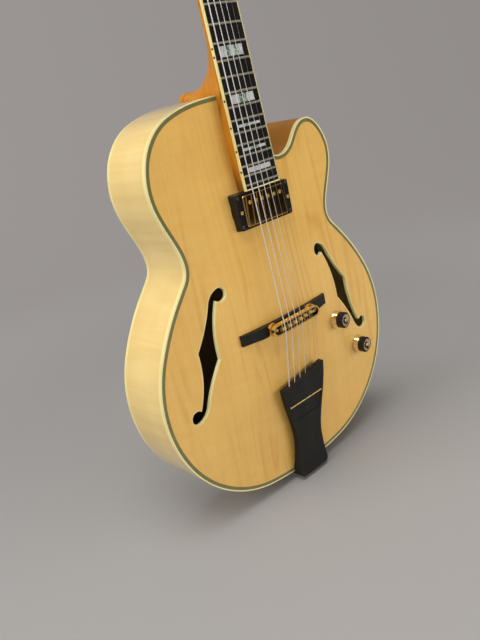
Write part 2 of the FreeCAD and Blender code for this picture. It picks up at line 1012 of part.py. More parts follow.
# Outline of a button's grip: narrow at the shaft, round at the far end
def grip_wire(start, out):
    half = button_width / 2
    up = vec(0, 0, half)
    shoulder = up * button_shoulder_share
    end = start + out * (button_length - half)
    points = [start - shoulder, end - up, end + out * half, end + up, start + shoulder]
    edges = [line(points[0], points[1]), Part.Arc(*points[1:4]).toShape()]
    edges += [line(points[3], points[4]), line(points[4], points[0])]
    return Part.Wire(edges)


def tuner_button(x, z):
    face, out = worm_place(x, z)
    start = face + out * button_reach
    inner = face - out * (shaft_depth - running_clearance)
    stem = rod(shaft_radius, inner, start + out * (button_length / 2))
    wire = grip_wire(start - vec(0, button_thickness / 2, 0), out)
    grip = Part.Face(wire).extrude(vec(0, button_thickness, 0))
    rims = [edge for edge in grip.Edges if edge.BoundBox.YLength < button_thickness / 2]
    return grip.makeChamfer(button_round, rims).fuse(stem).removeSplitter()


def make_tuners():
    place = head_place()
    housings = []
    bushings = []
    for index, (x, z) in enumerate(post_places()):
        housings.append(moved(tuner_housing(x, z), place))
        bushings.append(moved(tuner_bushing(x, z), place))
        save("tuner_post_%d" % (index + 1), moved(tuner_post(x, z), place))
        save("tuner_button_%d" % (index + 1), moved(tuner_button(x, z), place))
    save("tuner_housings", group(housings))
    save("tuner_bushings", group(bushings))


# Strings
def saddle_crest_y(x):
    return -half_depth - board_rise - saddle_action + crown_drop(x)


def saddle_point(index):
    x = string_x(saddle_spread, index)
    y = saddle_crest_y(x) - string_gap - string_diameters[index] / 2
    return vec(x, y, saddle_height - saddle_compensation * index / (len(string_diameters) - 1))


def tail_front(z):
    share = (z - tail_crease_height) / (tail_top_treble - tail_crease_height)
    return -half_depth - tail_front_crease - (tail_front_end - tail_front_crease) * share


def tail_edge(x):
    slope = (tail_top_treble - tail_top_bass) / tail_end_width
    return (tail_top_bass + tail_top_treble) / 2 + slope * x


def tail_point(index):
    x = string_x(tail_spread, index)
    z = tail_edge(x) - tail_hole_length + ball_radius
    return vec(x, tail_front(z) + tail_hole_depth, z)


# Angle at which a string from the nut first touches its winding, seen in the headstock's frame
def winding_entry(index, radius):
    x, z = post_places()[index]
    side = math.copysign(1, x)
    nut = head_place().inverse().multVec(neck_place().multVec(nut_point(index)))
    away = vec(x - nut.x, 0, z - nut.z)
    course = math.atan2(away.z, away.x) + side * math.asin(radius / away.Length)
    return course + side * math.pi / 2, nut


# Places and headings along a winding, a quarter turn apart, in the whole guitar's frame
def winding_rows(index):
    x, z = post_places()[index]
    side = math.copysign(1, x)
    radius = post_radius + winding_gap + string_diameters[index] / 2
    pitch = string_diameters[index] + winding_space
    first, nut = winding_entry(index, radius)
    rows = []
    for quarter in range(winding_quarter_count + 1):
        angle = first - side * quarter * math.pi / 2
        y = pitch * quarter / 4 - veneer_thickness - winding_start
        spot = vec(x + radius * math.cos(angle), y, z + radius * math.sin(angle))
        turn = vec(math.sin(angle), 0, -math.cos(angle)) * (side * radius)
        rows.append([spot, unit(turn + vec(0, pitch / (2 * math.pi), 0))])
    rows[0][1] = unit(rows[0][0] - nut)
    place = head_place()
    return [(place.multVec(spot), place.Rotation.multVec(heading)) for spot, heading in rows]


def winding_edges(index):
    rows = winding_rows(index)
    edges = []
    for (start, start_heading), (end, end_heading) in zip(rows, rows[1:]):
        for begin, corner, finish in biarc(start, start_heading, end, end_heading):
            edges.append(arc_edge(begin, corner_mid(begin, corner, finish), finish))
    last, heading = rows[-1]
    edges.append(line(last, last + heading * string_diameters[index]))
    return edges


# Least space between the turns of one winding and the string that leads in, measured on points
def least_gap(lead, turns, diameter):
    points = []
    for edge in turns[:-1]:
        points += edge.discretize(Number=gap_sample_count + 1)[:-1]
    half_turn = 4 * gap_sample_count
    near = [(a - b).Length for i, a in enumerate(points) for b in points[i + half_turn:]]
    near += [(a - b).Length for a in lead.discretize(Number=lead_sample_count) for b in points[half_turn:]]
    return min(near) - diameter


def bend(before, corner, after):
    start = corner + unit(before - corner) * string_bend
    end = corner + unit(after - corner) * string_bend
    return start, corner_mid(start, corner, end), end


# A string's section, with few sides so that the thin tubes stay light
def string_section(spot, along, radius):
    across = unit(along.cross(flat)) * radius
    other = unit(along.cross(across)) * radius
    angles = [2 * math.pi * step / string_side_count for step in range(string_side_count)]
    points = [spot + across * math.cos(angle) + other * math.sin(angle) for angle in angles]
    return Part.makePolygon(points + points[:1])


def string_solid(index):
    diameter = string_diameters[index]
    tail = tail_point(index)
    saddle = saddle_point(index)
    nut = neck_place().multVec(nut_point(index))
    entry = winding_rows(index)[0][0]
    turns = winding_edges(index)
    over_saddle = bend(tail, saddle, nut)
    over_nut = bend(saddle, nut, entry)
    lead = line(over_nut[2], entry)
    edges = [line(tail, over_saddle[0]), arc_edge(*over_saddle), line(over_saddle[2], over_nut[0])]
    path = Part.Wire(edges + [arc_edge(*over_nut), lead] + turns)
    section = string_section(tail, saddle - tail, diameter / 2)
    tube = path.makePipeShell([section], True, False)
    filled = tube.Volume / (Part.Face(section).Area * path.Length)
    gap = least_gap(lead, turns, diameter)
    print("string %d: fill %.4f, least gap in its winding %.2f mm" % (index + 1, filled, gap))
    half = flat * (ball_length / 2)
    return tube.fuse(rod(ball_radius, tail - half, tail + half)).removeSplitter()


def make_strings():
    strings = [string_solid(index) for index in range(len(string_diameters))]
    save("plain_strings", group(strings[:plain_string_count]))
    save("wound_strings", group(strings[plain_string_count:]))


# Bridge
def bridge_middle():
    return saddle_height - saddle_compensation / 2


def base_top():
    return -half_depth - base_rise


def frame_bottom():
    return base_top() - wheel_gap - wheel_thickness - wheel_seat


def frame_floor_y():
    return frame_bottom() - frame_floor


def frame_top():
    return frame_bottom() - frame_height


# An upright rod on a bridge post's axis
def post_rod(side, radius, y0, y1):
    x = side * bridge_post_spread / 2
    return rod(radius, vec(x, y0, bridge_middle()), vec(x, y1, bridge_middle()))


# A bar with round ends, standing from y0 to y1
def stadium(length, width, y0, y1):
    z = bridge_middle()
    reach = (length - width) / 2
    half = width / 2
    sides = []
    for turn in (1, -1):
        start = vec(-reach * turn, y0, z - half * turn)
        end = vec(reach * turn, y0, z - half * turn)
        far = vec(reach * turn, y0, z + half * turn)
        sides += [line(start, end), Part.Arc(end, vec((reach + half) * turn, y0, z), far).toShape()]
    return Part.Face(Part.Wire(sides)).extrude(vec(0, y1 - y0, 0))


def make_bridge_base(body, posts):
    half = base_length / 2
    flat_half = base_plateau / 2
    z0 = bridge_middle() - base_width / 2
    end_y = body.top_y(half, bridge_middle()) - base_end
    profile = [vec(-half, 0, z0), vec(-half, end_y, z0), vec(-flat_half, base_top(), z0)]
    profile += [vec(flat_half, base_top(), z0), vec(half, end_y, z0), vec(half, 0, z0)]
    base = polygon_prism(profile, vec(0, 0, base_width)).common(body.over_top)
    save("bridge_base", base.cut(posts))


def make_bridge_frame():
    wall = 2 * frame_wall
    frame = stadium(frame_length, frame_width, frame_bottom(), frame_top())
    tray = stadium(frame_length - wall, frame_width - wall, frame_floor_y(), frame_top() - overrun)
    frame = frame.cut(tray)
    hole = bridge_post_radius + frame_hole_clearance
    for side in (-1, 1):
        frame = frame.cut(post_rod(side, hole, base_top(), frame_top()))
    save("bridge_frame", frame)


def make_thumbwheels():
    low = base_top() - wheel_gap
    bore = bridge_post_radius + running_clearance
    for name, side in (("bass", -1), ("treble", 1)):
        wheel = post_rod(side, wheel_radius, low, low - wheel_thickness)
        save("thumbwheel_" + name, wheel.cut(post_rod(side, bore, base_top(), frame_top())))


def saddle_solid(index):
    spot = saddle_point(index)
    crest = saddle_crest_y(spot.x)
    shoulder = frame_top() + saddle_shoulder
    reach = saddle_length / 2
    tip = saddle_crest / 2
    rows = [(frame_floor_y(), -reach), (frame_floor_y(), reach), (shoulder, reach)]
    rows += [(crest, tip), (crest, -tip), (shoulder, -reach)]
    points = [vec(spot.x - saddle_width / 2, y, spot.z + z) for y, z in rows]
    return polygon_prism(points, vec(saddle_width, 0, 0))


def make_bridge(body):
    low = base_top() + bridge_post_sink
    high = frame_floor_y() - bridge_post_show
    posts = group([post_rod(side, bridge_post_radius, low, high) for side in (-1, 1)])
    save("bridge_posts", posts)
    make_bridge_base(body, posts)
    make_bridge_frame()
    make_thumbwheels()
    save("saddles", group([saddle_solid(index) for index in range(len(string_diameters))]))


# Tailpiece
def tail_side(side):
    half = tail_end_width / 2 * side
    rows = [
        (half, tail_edge(half)),
        (side * tail_shoulder_width / 2, tail_line_height),
        (side * tail_waist_width / 2, tail_waist_height),
        (side * tail_crease_width / 2, tail_crease_height),
        (side * tail_foot_width / 2, tail_foot_chamfer - tail_foot_drop),
    ]
    return [vec(x, -front_reach, z) for x, z in rows]


def tail_plan():
    right = tail_side(1)
    left = tail_side(-1)
    curves = []
    for points in (right, left):
        curve = Part.BSplineCurve()
        curve.interpolate(points)
        curves.append(curve.toShape())
    toe = tail_foot_width / 2 - tail_foot_chamfer
    toes = [vec(x, -front_reach, -tail_foot_drop) for x in (toe, -toe)]
    foot = [line(right[-1], toes[0]), line(*toes), line(toes[1], left[-1])]
    edges = [line(left[0], right[0]), curves[0]] + foot + [curves[1]]
    return Part.Face(Part.Wire(edges)).extrude(vec(0, 2 * front_reach, 0))


def tail_profile():
    top = tail_top_treble + overrun
    rows = [
        (tail_front(top), top),
        (tail_front(tail_crease_height), tail_crease_height),
        (-half_depth - tail_front_foot, -tail_foot_drop),
        (-half_depth + tail_lip, -tail_foot_drop / 2),
        (-half_depth + tail_lip, tail_rest),
        (-half_depth, tail_rest),
        (tail_front(tail_crease_height) + tail_thickness, tail_crease_height),
        (tail_front(top) + tail_thickness, top),
    ]
    points = [vec(-tail_end_width, y, z) for y, z in rows]
    return polygon_prism(points, vec(2 * tail_end_width, 0, 0))


# A hole for one string into the end face, and a seat for its ball, open to the back
def tail_hole(index):
    spot = tail_point(index)
    way = unit(saddle_point(index) - spot)
    hole = rod(tail_hole_radius, spot, spot + way * (tail_hole_length + overrun))
    wide = ball_length / 2 + tail_clearance
    tall = ball_radius + tail_clearance
    far = spot.y + tail_thickness
    seat = box(spot.x - wide, spot.x + wide, spot.y - tall, far, spot.z - tall, spot.z + tall)
    return hole.fuse(seat)


# A shallow panel below the inlaid line, sunk evenly into the sloping front
def tail_panel(tail):
    high = tail_line_height - tail_line_thickness / 2
    low = high - tail_panel_length
    wide = tail_line_width / 2
    narrow = tail_panel_width / 2
    corners = [(-wide, high), (wide, high), (narrow, low), (-narrow, low)]
    zone = polygon_prism([vec(x, -front_reach, z) for x, z in corners], vec(0, front_reach, 0))
    return tail.common(zone).cut(tail.translated(vec(0, tail_panel_depth, 0)))


def tail_line(tail):
    half = tail_line_width / 2
    tall = tail_line_thickness / 2
    deep = tail_front(tail_line_height) + tail_line_depth
    return tail.common(box(-half, half, -front_reach, deep, tail_line_height - tall, tail_line_height + tall))


def hinge_pin():
    y = -half_depth - hinge_pin_front
    half = tail_foot_width / 2
    return rod(hinge_pin_radius, vec(-half, y, -hinge_pin_drop), vec(half, y, -hinge_pin_drop))


# Room in the tailpiece's foot for the hinge's barrel and plate
def hinge_room():
    half = hinge_width / 2 + tail_clearance
    front = -half_depth - hinge_pin_front - hinge_barrel - tail_clearance
    low = -2 * tail_foot_drop
    return box(-half, half, front, -half_depth + hinge_length, low, tail_clearance)


def make_hinge():
    half = hinge_width / 2
    y = -half_depth - hinge_pin_front
    plate = box(-half, half, y, -half_depth + hinge_length, -hinge_thickness, 0)
    barrel = rod(hinge_barrel, vec(-half, y, -hinge_pin_drop), vec(half, y, -hinge_pin_drop))
    bracket = plate.fuse(barrel).removeSplitter().cut(hinge_pin()).cut(pin_hole())
    save("tailpiece_hinge", group(bracket.Solids + [hinge_pin()]))


def make_tailpiece(body):
    tail = tail_plan().common(tail_profile())
    tail = tail.cut(body_prism(-tail_clearance, -half_depth, half_depth)).cut(body.top_blank)
    for index in range(len(string_diameters)):
        tail = tail.cut(tail_hole(index))
    strip = tail_line(tail)
    tail = tail.cut(tail_panel(tail)).cut(strip).cut(hinge_room()).cut(hinge_pin())
    save("tailpiece", tail)
    save("tailpiece_inlay", strip)


# Pickup
def pickup_middle():
    board_low = neck_place().multVec(vec(0, board_thickness, board_end())).z
    return board_low - pickup_gap - ring_width / 2


# A rectangle with round corners about the pickup's middle, in the plane at y
def rounded_wire(length, width, radius, y):
    arcs = []
    for across, up in ((1, -1), (1, 1), (-1, 1), (-1, -1)):
        corner = vec(across * length / 2, y, pickup_middle() + up * width / 2)
        ends = [corner - vec(across * radius, 0, 0), corner - vec(0, 0, up * radius)]
        if across * up > 0:
            ends.reverse()
        arcs.append((ends[0], corner_mid(ends[0], corner, ends[1]), ends[1]))
    edges = []
    for here, ahead in zip(arcs, arcs[1:] + arcs[:1]):
        edges += [Part.Arc(*here).toShape(), line(here[2], ahead[0])]
    return Part.Wire(edges)


def rounded_block(inset, y0, y1):
    length = cover_length - 2 * inset
    width = cover_width - 2 * inset
    wire = rounded_wire(length, width, cover_round - inset, y0)
    return Part.Face(wire).extrude(vec(0, y1 - y0, 0))


def ring_top():
    return -half_depth - ring_rise


def cover_top():
    return ring_top() - cover_stand


def cover_low():
    return cover_top() + cover_depth


def deeper(spot, distance):
    return spot - forward * distance


def height_screw_spots():
    x = height_screw_spread / 2
    return [vec(side * x, ring_top(), pickup_middle()) for side in (-1, 1)]


def height_bores():
    bore = height_screw_radius + running_clearance
    spots = height_screw_spots()
    return group([rod(bore, deeper(spot, -overrun), deeper(spot, height_screw_length)) for spot in spots])


def make_height_screws():
    for name, spot in zip(("bass", "treble"), height_screw_spots()):
        head = rod(height_screw_head, deeper(spot, -screw_head_height), spot)
        shank = rod(height_screw_radius, spot, deeper(spot, height_screw_length))
        save("pickup_height_screw_" + name, head.fuse(shank))


def make_ring(body):
    low = rounded_wire(ring_length + ring_flare, ring_width + ring_flare, ring_round, -half_depth)
    high = rounded_wire(ring_length, ring_width, ring_round, ring_top())
    ring = Part.makeLoft([low, high], True, True).common(body.over_top)
    ring = ring.cut(rounded_block(-cover_gap, 0, cover_top()))
    save("pickup_ring", ring.cut(height_bores()))


# Pole screws in the cover's neck side, one under each string
def pole_rods():
    rods = []
    for index in range(len(string_diameters)):
        x = string_x(pole_pitch * (len(string_diameters) - 1), index)
        spot = vec(x, cover_top() - pole_stand, pickup_middle() + pole_offset)
        rods.append(rod(pole_radius, spot, deeper(spot, pole_stand + cover_wall)))
    return rods


def make_cover():
    cover = rounded_block(0, cover_low(), cover_top())
    rims = [edge for edge in cover.Edges if edge.BoundBox.YMax < cover_top() + running_clearance]
    cover = cover.makeFillet(cover_edge, rims)
    cover = cover.cut(rounded_block(cover_wall, cover_low(), cover_top() + cover_wall))
    save("pickup_cover", joined([cover] + pole_rods()))


def make_core():
    low = cover_low()
    coil = rounded_block(cover_wall + core_gap, low, cover_top() + cover_wall + core_gap)
    sole = rounded_block(0, low, low + base_plate)
    reach = height_screw_spread / 2 + leg_length / 2
    tall = leg_length / 2
    legs = box(-reach, reach, low, low + base_plate, pickup_middle() - tall, pickup_middle() + tall)
    save("pickup_core", joined([coil, sole, legs]).cut(height_bores()))


# Knobs and pots, built upright and then turned onto the top's own slope
def upright(shape, place, normal):
    return moved(shape, FreeCAD.Placement(place, FreeCAD.Rotation(vec(0, 0, 1), normal)))


def pillar(radius, low, high):
    return rod(radius, vec(0, 0, low), vec(0, 0, high))


def knob_core():
    shoulder = knob_stand + skirt_height
    top = shoulder + grip_height
    skirt = Part.makeCone(skirt_radius, skirt_waist_radius, skirt_height, vec(0, 0, knob_stand))
    core = skirt.fuse(pillar(core_radius, knob_stand, top))
    core = core.cut(pillar(knob_cup_radius, 0, knob_stand + knob_cup_depth))
    floor = top - knob_dish_depth
    core = core.cut(Part.makeCone(knob_dish_floor, knob_dish_radius, knob_dish_depth, vec(0, 0, floor)))
    core = core.fuse(pillar(pot_shaft_radius, -pot_shaft_drop, floor))
    return core.fuse(pillar(knob_stud_radius, floor, top - knob_stud_drop)).removeSplitter()


def knob_grip():
    low = knob_stand + skirt_height
    grip = pillar(grip_radius, low, low + grip_height)
    rims = [edge for edge in grip.Edges if edge.BoundBox.ZMin > low + running_clearance]
    grip = grip.makeChamfer(grip_round, rims)
    return grip.cut(pillar(core_radius, low, low + grip_height))


def pot_solid():
    can_top = -top_thickness - pot_gap
    can = pillar(pot_radius, can_top - pot_height, can_top)
    bushing = pillar(pot_bushing_radius, can_top, pot_bushing_rise)
    bore = pot_shaft_radius + running_clearance
    return can.fuse(bushing).cut(pillar(bore, -pot_shaft_drop - running_clearance, pot_bushing_rise))


def make_controls(body):
    pots = []
    for name, (place, normal) in zip(("volume", "tone"), knob_axes(body)):
        save(name + "_knob", upright(knob_core(), place, normal))
        save(name + "_knob_grip", upright(knob_grip(), place, normal))
        pots.append(upright(pot_solid(), place, normal))
    save("pots", group(pots))


# Output jack and end pin
def make_jack():
    place, along = jack_axis()
    inner = place - along * jack_length
    face = place + along * jack_flange_thickness
    outer = face + along * jack_nut
    barrel = rod(jack_barrel, inner, outer)
    jack = joined([barrel, rod(jack_flange, place, face), rod(jack_nut_radius, place, outer)])
    save("output_jack", jack.cut(rod(jack_bore, inner, outer)))


def make_end_pin():
    seat = -hinge_thickness
    low = seat - pin_height
    stem = rod(pin_stem, vec(0, 0, pin_stem_length), vec(0, 0, low))
    collar = rod(pin_collar, vec(0, 0, seat), vec(0, 0, seat - pin_rim))
    head = rod(pin_radius, vec(0, 0, low), vec(0, 0, low + pin_rim))
    save("end_pin", joined([stem, collar, head]))


os.makedirs("parts", exist_ok=True)
body = Body()
make_plates(body)
make_edges()
make_frame(body)
make_tone_bars(body)
make_fingerboard()
make_neck(body)
make_truss_rod()
make_nut()
make_head_face()
make_rod_cover()
make_tuners()
make_strings()
make_bridge(body)
make_tailpiece(body)
make_hinge()
make_ring(body)
make_height_screws()
make_cover()
make_core()
make_controls(body)
make_jack()
make_end_pin()
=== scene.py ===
import json
import math

import bmesh
import bpy
from mathutils import Matrix, Vector
from mathutils.bvhtree import BVHTree


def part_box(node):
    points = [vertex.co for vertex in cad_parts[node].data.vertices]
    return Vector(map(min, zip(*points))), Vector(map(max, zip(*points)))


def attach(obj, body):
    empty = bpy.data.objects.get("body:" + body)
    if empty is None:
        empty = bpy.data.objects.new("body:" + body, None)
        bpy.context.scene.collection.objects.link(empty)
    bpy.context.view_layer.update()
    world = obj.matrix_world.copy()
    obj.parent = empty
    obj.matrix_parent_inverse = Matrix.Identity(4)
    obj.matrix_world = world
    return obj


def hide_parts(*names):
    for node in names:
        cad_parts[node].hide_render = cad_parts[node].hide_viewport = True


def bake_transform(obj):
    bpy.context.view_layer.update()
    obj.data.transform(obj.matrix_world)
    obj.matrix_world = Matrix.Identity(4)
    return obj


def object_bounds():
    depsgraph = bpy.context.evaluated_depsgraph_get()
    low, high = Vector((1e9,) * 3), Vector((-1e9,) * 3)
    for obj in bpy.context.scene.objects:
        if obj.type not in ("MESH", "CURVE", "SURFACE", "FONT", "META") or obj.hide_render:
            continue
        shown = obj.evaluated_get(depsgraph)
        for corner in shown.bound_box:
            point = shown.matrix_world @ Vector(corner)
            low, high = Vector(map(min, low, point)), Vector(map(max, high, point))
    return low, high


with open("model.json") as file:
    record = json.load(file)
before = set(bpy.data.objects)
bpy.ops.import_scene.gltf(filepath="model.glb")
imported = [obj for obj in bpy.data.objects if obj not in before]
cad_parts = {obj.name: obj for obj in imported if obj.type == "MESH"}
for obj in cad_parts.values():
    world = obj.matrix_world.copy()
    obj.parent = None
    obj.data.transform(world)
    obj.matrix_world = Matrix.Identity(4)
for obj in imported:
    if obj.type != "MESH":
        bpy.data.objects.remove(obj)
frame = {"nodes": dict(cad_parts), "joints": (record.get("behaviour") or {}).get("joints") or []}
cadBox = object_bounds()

scene = bpy.context.scene
scene.view_settings.view_transform = "Standard"
joints = {joint["name"]: joint for joint in frame["joints"]}
root = "instrument"


# Small helpers for node trees. A value is a constant, or the socket that it comes from

def feed(tree, socket, value):
    if isinstance(value, bpy.types.NodeSocket):
        tree.links.new(value, socket)
    else:
        socket.default_value = value


def addNode(tree, kind, values=None, **settings):
    made = tree.nodes.new(kind)
    for key, value in settings.items():
        setattr(made, key, value)
    for key, value in (values or {}).items():
        feed(tree, made.inputs[key], value)
    return made.outputs


def maths(tree, operation, *values):
    return addNode(tree, "ShaderNodeMath", dict(enumerate(values)), operation=operation)["Value"]


def startFinish(name, values):
    material = bpy.data.materials.new(name)
    material.use_nodes = True
    tree = material.node_tree
    shader = tree.nodes["Principled BSDF"].inputs
    for key, value in values.items():
        shader[key].default_value = value
    return material, tree, shader


# Object coordinates, for a mirrored pattern the same on both sides of the middle and leaning by the slant
def stretched(tree, scale, mirrored=False, slant=0.0):
    place = addNode(tree, "ShaderNodeTexCoord")["Object"]
    if mirrored:
        apart = addNode(tree, "ShaderNodeSeparateXYZ", {"Vector": place})
        folded = {"X": maths(tree, "ABSOLUTE", apart["X"]), "Y": apart["Y"], "Z": apart["Z"]}
        place = addNode(tree, "ShaderNodeCombineXYZ", folded)["Vector"]
        lean = (0.0, math.radians(slant), 0.0)
        place = addNode(tree, "ShaderNodeMapping", {"Vector": place, "Rotation": lean})["Vector"]
    return addNode(tree, "ShaderNodeMapping", {"Vector": place, "Scale": scale})["Vector"]


def noiseOn(tree, place, detail=4.0, distortion=0.0, scale=1.0):
    values = {"Vector": place, "Scale": scale, "Detail": detail, "Distortion": distortion}
    return addNode(tree, "ShaderNodeTexNoise", values)["Fac"]


def ramp(tree, source, stops, mode="LINEAR"):
    made = tree.nodes.new("ShaderNodeValToRGB")
    made.color_ramp.interpolation = mode
    elements = made.color_ramp.elements
    while len(elements) < len(stops):
        elements.new(0.5)
    for element, (place, colour) in zip(elements, stops):
        element.position = place
        element.color = (*colour, 1.0)
    feed(tree, made.inputs["Fac"], source)
    return made.outputs["Color"]


# The colour sockets of a Mix node go by number: 6 and 7 in, 2 out
def mixColour(tree, share, first, second, mode="MIX"):
    values = {"Factor": share, 6: first, 7: second}
    return addNode(tree, "ShaderNodeMix", values, data_type="RGBA", blend_type=mode)[2]


# Colour, and gloss and relief that follow the same pattern
def dress(tree, shader, colour, pattern, look, depth):
    feed(tree, shader["Base Color"], colour)
    low, high = look["roughness"]
    dull = addNode(tree, "ShaderNodeMapRange", {"Value": pattern, "To Min": low, "To Max": high})
    feed(tree, shader["Roughness"], dull["Result"])
    if "bump" in look:
        relief = {"Height": pattern, "Strength": look["bump"], "Distance": depth}
        feed(tree, shader["Normal"], addNode(tree, "ShaderNodeBump", relief)["Normal"])


# Finishes

lacquer = {"Coat Weight": 1.0, "Coat Roughness": 0.04, "Coat IOR": 1.52}
matt = {"Roughness": 0.9, "Specular IOR Level": 0.1}
grainDepth = 0.0002  # metres, for the bump of wood grain
fineDepth = 0.0001  # metres, for every finer bump


def lacqueredWood(name, look):
    material, tree, shader = startFinish(name, {**lacquer, **look["shader"]})
    mirrored, slant = look.get("mirrored", False), look.get("slant", 0.0)
    grain = noiseOn(tree, stretched(tree, look["grain"], mirrored), detail=5.0, distortion=0.25)
    cloud = noiseOn(tree, stretched(tree, look["cloud"], mirrored), detail=3.0, distortion=0.6)
    curl = noiseOn(tree, stretched(tree, look["figure"], mirrored, slant), detail=2.0, distortion=0.8)
    lines = ramp(tree, grain, look["grainColours"])
    tint = ramp(tree, cloud, look["cloudColours"])
    bands = ramp(tree, curl, look["figureColours"])
    colour = mixColour(tree, look["cloudShare"], lines, tint)
    colour = mixColour(tree, look["figureShare"], colour, bands, "MULTIPLY")
    if "veins" in look:
        colour = addVeins(tree, colour, look)
    if "front" in look:
        colour = frontTone(tree, colour, look["front"])
    dress(tree, shader, colour, grain, look, grainDepth)
    return material


# Growth lines: level lines of a long drawn-out noise, broken up by a second one
veinLines = {"fold": 0.5, "breakScale": 2.3, "breakStops": [(0.38, (1.0, 1.0, 1.0)), (0.62, (0.0, 0.0, 0.0))]}


def addVeins(tree, colour, look):
    mirrored = look.get("mirrored", False)
    level = noiseOn(tree, stretched(tree, look["veins"], mirrored), detail=3.0, distortion=0.35)
    many = maths(tree, "MULTIPLY", level, look["veinCount"])
    line = ramp(tree, maths(tree, "PINGPONG", many, veinLines["fold"]), look["veinColours"])
    breaks = noiseOn(tree, stretched(tree, look["cloud"]), detail=2.0, scale=veinLines["breakScale"])
    veined = mixColour(tree, 1.0, colour, line, "MULTIPLY")
    return mixColour(tree, ramp(tree, breaks, veinLines["breakStops"]), colour, veined)


# Another tone on faces that point to the front: bare wood inside the back, and the thin edge of the
# f-hole bindings
frontFacing = -0.25  # the normal's Y below which a face counts


def frontTone(tree, colour, tone):
    normal = addNode(tree, "ShaderNodeNewGeometry")["True Normal"]
    lie = addNode(tree, "ShaderNodeSeparateXYZ", {"Vector": normal})["Y"]
    return mixColour(tree, maths(tree, "LESS_THAN", lie, frontFacing), colour, (*tone, 1.0))


topLook = {
    "shader": {"Specular IOR Level": 0.3},
    "mirrored": True,
    "grain": (330.0, 40.0, 5.0),
    "cloud": (9.0, 9.0, 3.2),
    "figure": (22.0, 10.0, 70.0),
    "veins": (15.0, 6.0, 1.5),
    "veinCount": 9.0,
    "veinColours": [(0.0, (0.89, 0.82, 0.68)), (0.12, (0.96, 0.93, 0.87)), (0.28, (1.0, 1.0, 1.0))],
    "grainColours": [(0.25, (0.58, 0.325, 0.068)), (0.5, (0.65, 0.382, 0.090)), (0.8, (0.69, 0.42, 0.110))],
    "cloudColours": [(0.3, (0.60, 0.335, 0.064)), (0.7, (0.71, 0.435, 0.118))],
    "cloudShare": 0.55,
    "figureColours": [(0.35, (0.95, 0.93, 0.90)), (0.65, (1.0, 1.0, 1.0))],
    "figureShare": 0.7,
    "roughness": (0.42, 0.30),
    "bump": 0.05,
}
rimLook = {
    "shader": {"Specular IOR Level": 0.3},
    "grain": (30.0, 30.0, 9.0),
    "cloud": (6.0, 8.0, 5.0),
    "figure": (60.0, 5.0, 60.0),
    "grainColours": [(0.25, (0.68, 0.46, 0.145)), (0.55, (0.74, 0.535, 0.190)), (0.8, (0.78, 0.59, 0.245))],
    "cloudColours": [(0.3, (0.68, 0.47, 0.145)), (0.7, (0.79, 0.60, 0.25))],
    "cloudShare": 0.5,
    "figureColours": [(0.36, (0.92, 0.88, 0.80)), (0.6, (1.0, 1.0, 1.0))],
    "figureShare": 0.8,
    "roughness": (0.42, 0.30),
    "bump": 0.04,
}
# The cutaway's wall: the rim's maple made darker, as painted shade
shadedCutawayLook = {
    **rimLook,
    "shader": {"Specular IOR Level": 0.1, "Coat Weight": 0.15},
    "grainColours": [(0.25, (0.27, 0.105, 0.012)), (0.55, (0.32, 0.135, 0.019)), (0.8, (0.37, 0.16, 0.026))],
    "cloudColours": [(0.3, (0.27, 0.105, 0.012)), (0.7, (0.37, 0.16, 0.024))],
}
backLook = {
    **rimLook,
    "mirrored": True,
    "front": (0.16, 0.10, 0.05),
    "grain": (170.0, 30.0, 5.0),
    "slant": 20.0,
    "figure": (7.0, 8.0, 62.0),
    "figureColours": [(0.38, (0.84, 0.76, 0.62)), (0.58, (1.0, 1.0, 1.0))],
    "figureShare": 0.75,
    "veins": (13.0, 6.0, 1.8),
    "veinCount": 8.0,
    "veinColours": topLook["veinColours"],
    "grainColours": [(0.25, (0.56, 0.32, 0.08)), (0.55, (0.64, 0.39, 0.11)), (0.8, (0.69, 0.44, 0.14))],
    "cloudColours": [(0.3, (0.58, 0.33, 0.08)), (0.7, (0.70, 0.45, 0.14))],
}
neckLook = {
    **rimLook,
    "shader": {"Specular IOR Level": 0.1, "Coat Weight": 0.2},
    "grain": (210.0, 210.0, 5.0),
    "figure": (14.0, 14.0, 70.0),
    "grainColours": [(0.25, (0.45, 0.165, 0.010)), (0.55, (0.54, 0.215, 0.016)), (0.8, (0.60, 0.25, 0.026))],
    "cloudColours": [(0.3, (0.46, 0.17, 0.010)), (0.7, (0.60, 0.25, 0.024))],
}
insideLook = {
    **rimLook,
    "shader": {"Specular IOR Level": 0.2, "Coat Weight": 0.0},
    "roughness": (0.85, 0.7),
    "grainColours": [(0.25, (0.34, 0.22, 0.11)), (0.55, (0.40, 0.27, 0.14)), (0.8, (0.45, 0.31, 0.17))],
    "cloudColours": [(0.3, (0.35, 0.23, 0.11)), (0.7, (0.44, 0.30, 0.16))],
}


def ebonyWood(name, look):
    material, tree, shader = startFinish(name, look["shader"])
    pores = noiseOn(tree, stretched(tree, look["pores"]), detail=6.0, distortion=0.2)
    streak = noiseOn(tree, stretched(tree, look["streak"]), distortion=0.5)
    dark = ramp(tree, pores, look["poreColours"])
    brown = ramp(tree, streak, look["streakColours"])
    dress(tree, shader, mixColour(tree, look["streakShare"], dark, brown), pores, look, fineDepth)
    return material


boardLook = {
    "shader": {"Specular IOR Level": 0.2},
    "pores": (900.0, 500.0, 60.0),
    "streak": (120.0, 60.0, 7.0),
    "poreColours": [(0.3, (0.004, 0.004, 0.004)), (0.7, (0.011, 0.010, 0.009))],
    "streakColours": [(0.35, (0.005, 0.005, 0.004)), (0.75, (0.017, 0.013, 0.010))],
    "streakShare": 0.5,
    "roughness": (0.48, 0.36),
    "bump": 0.12,
}
satinLook = {
    **boardLook,
    "poreColours": [(0.3, (0.008, 0.008, 0.007)), (0.7, (0.016, 0.015, 0.014))],
    "streakColours": [(0.35, (0.009, 0.009, 0.008)), (0.75, (0.021, 0.018, 0.015))],
    "roughness": (0.52, 0.40),
}


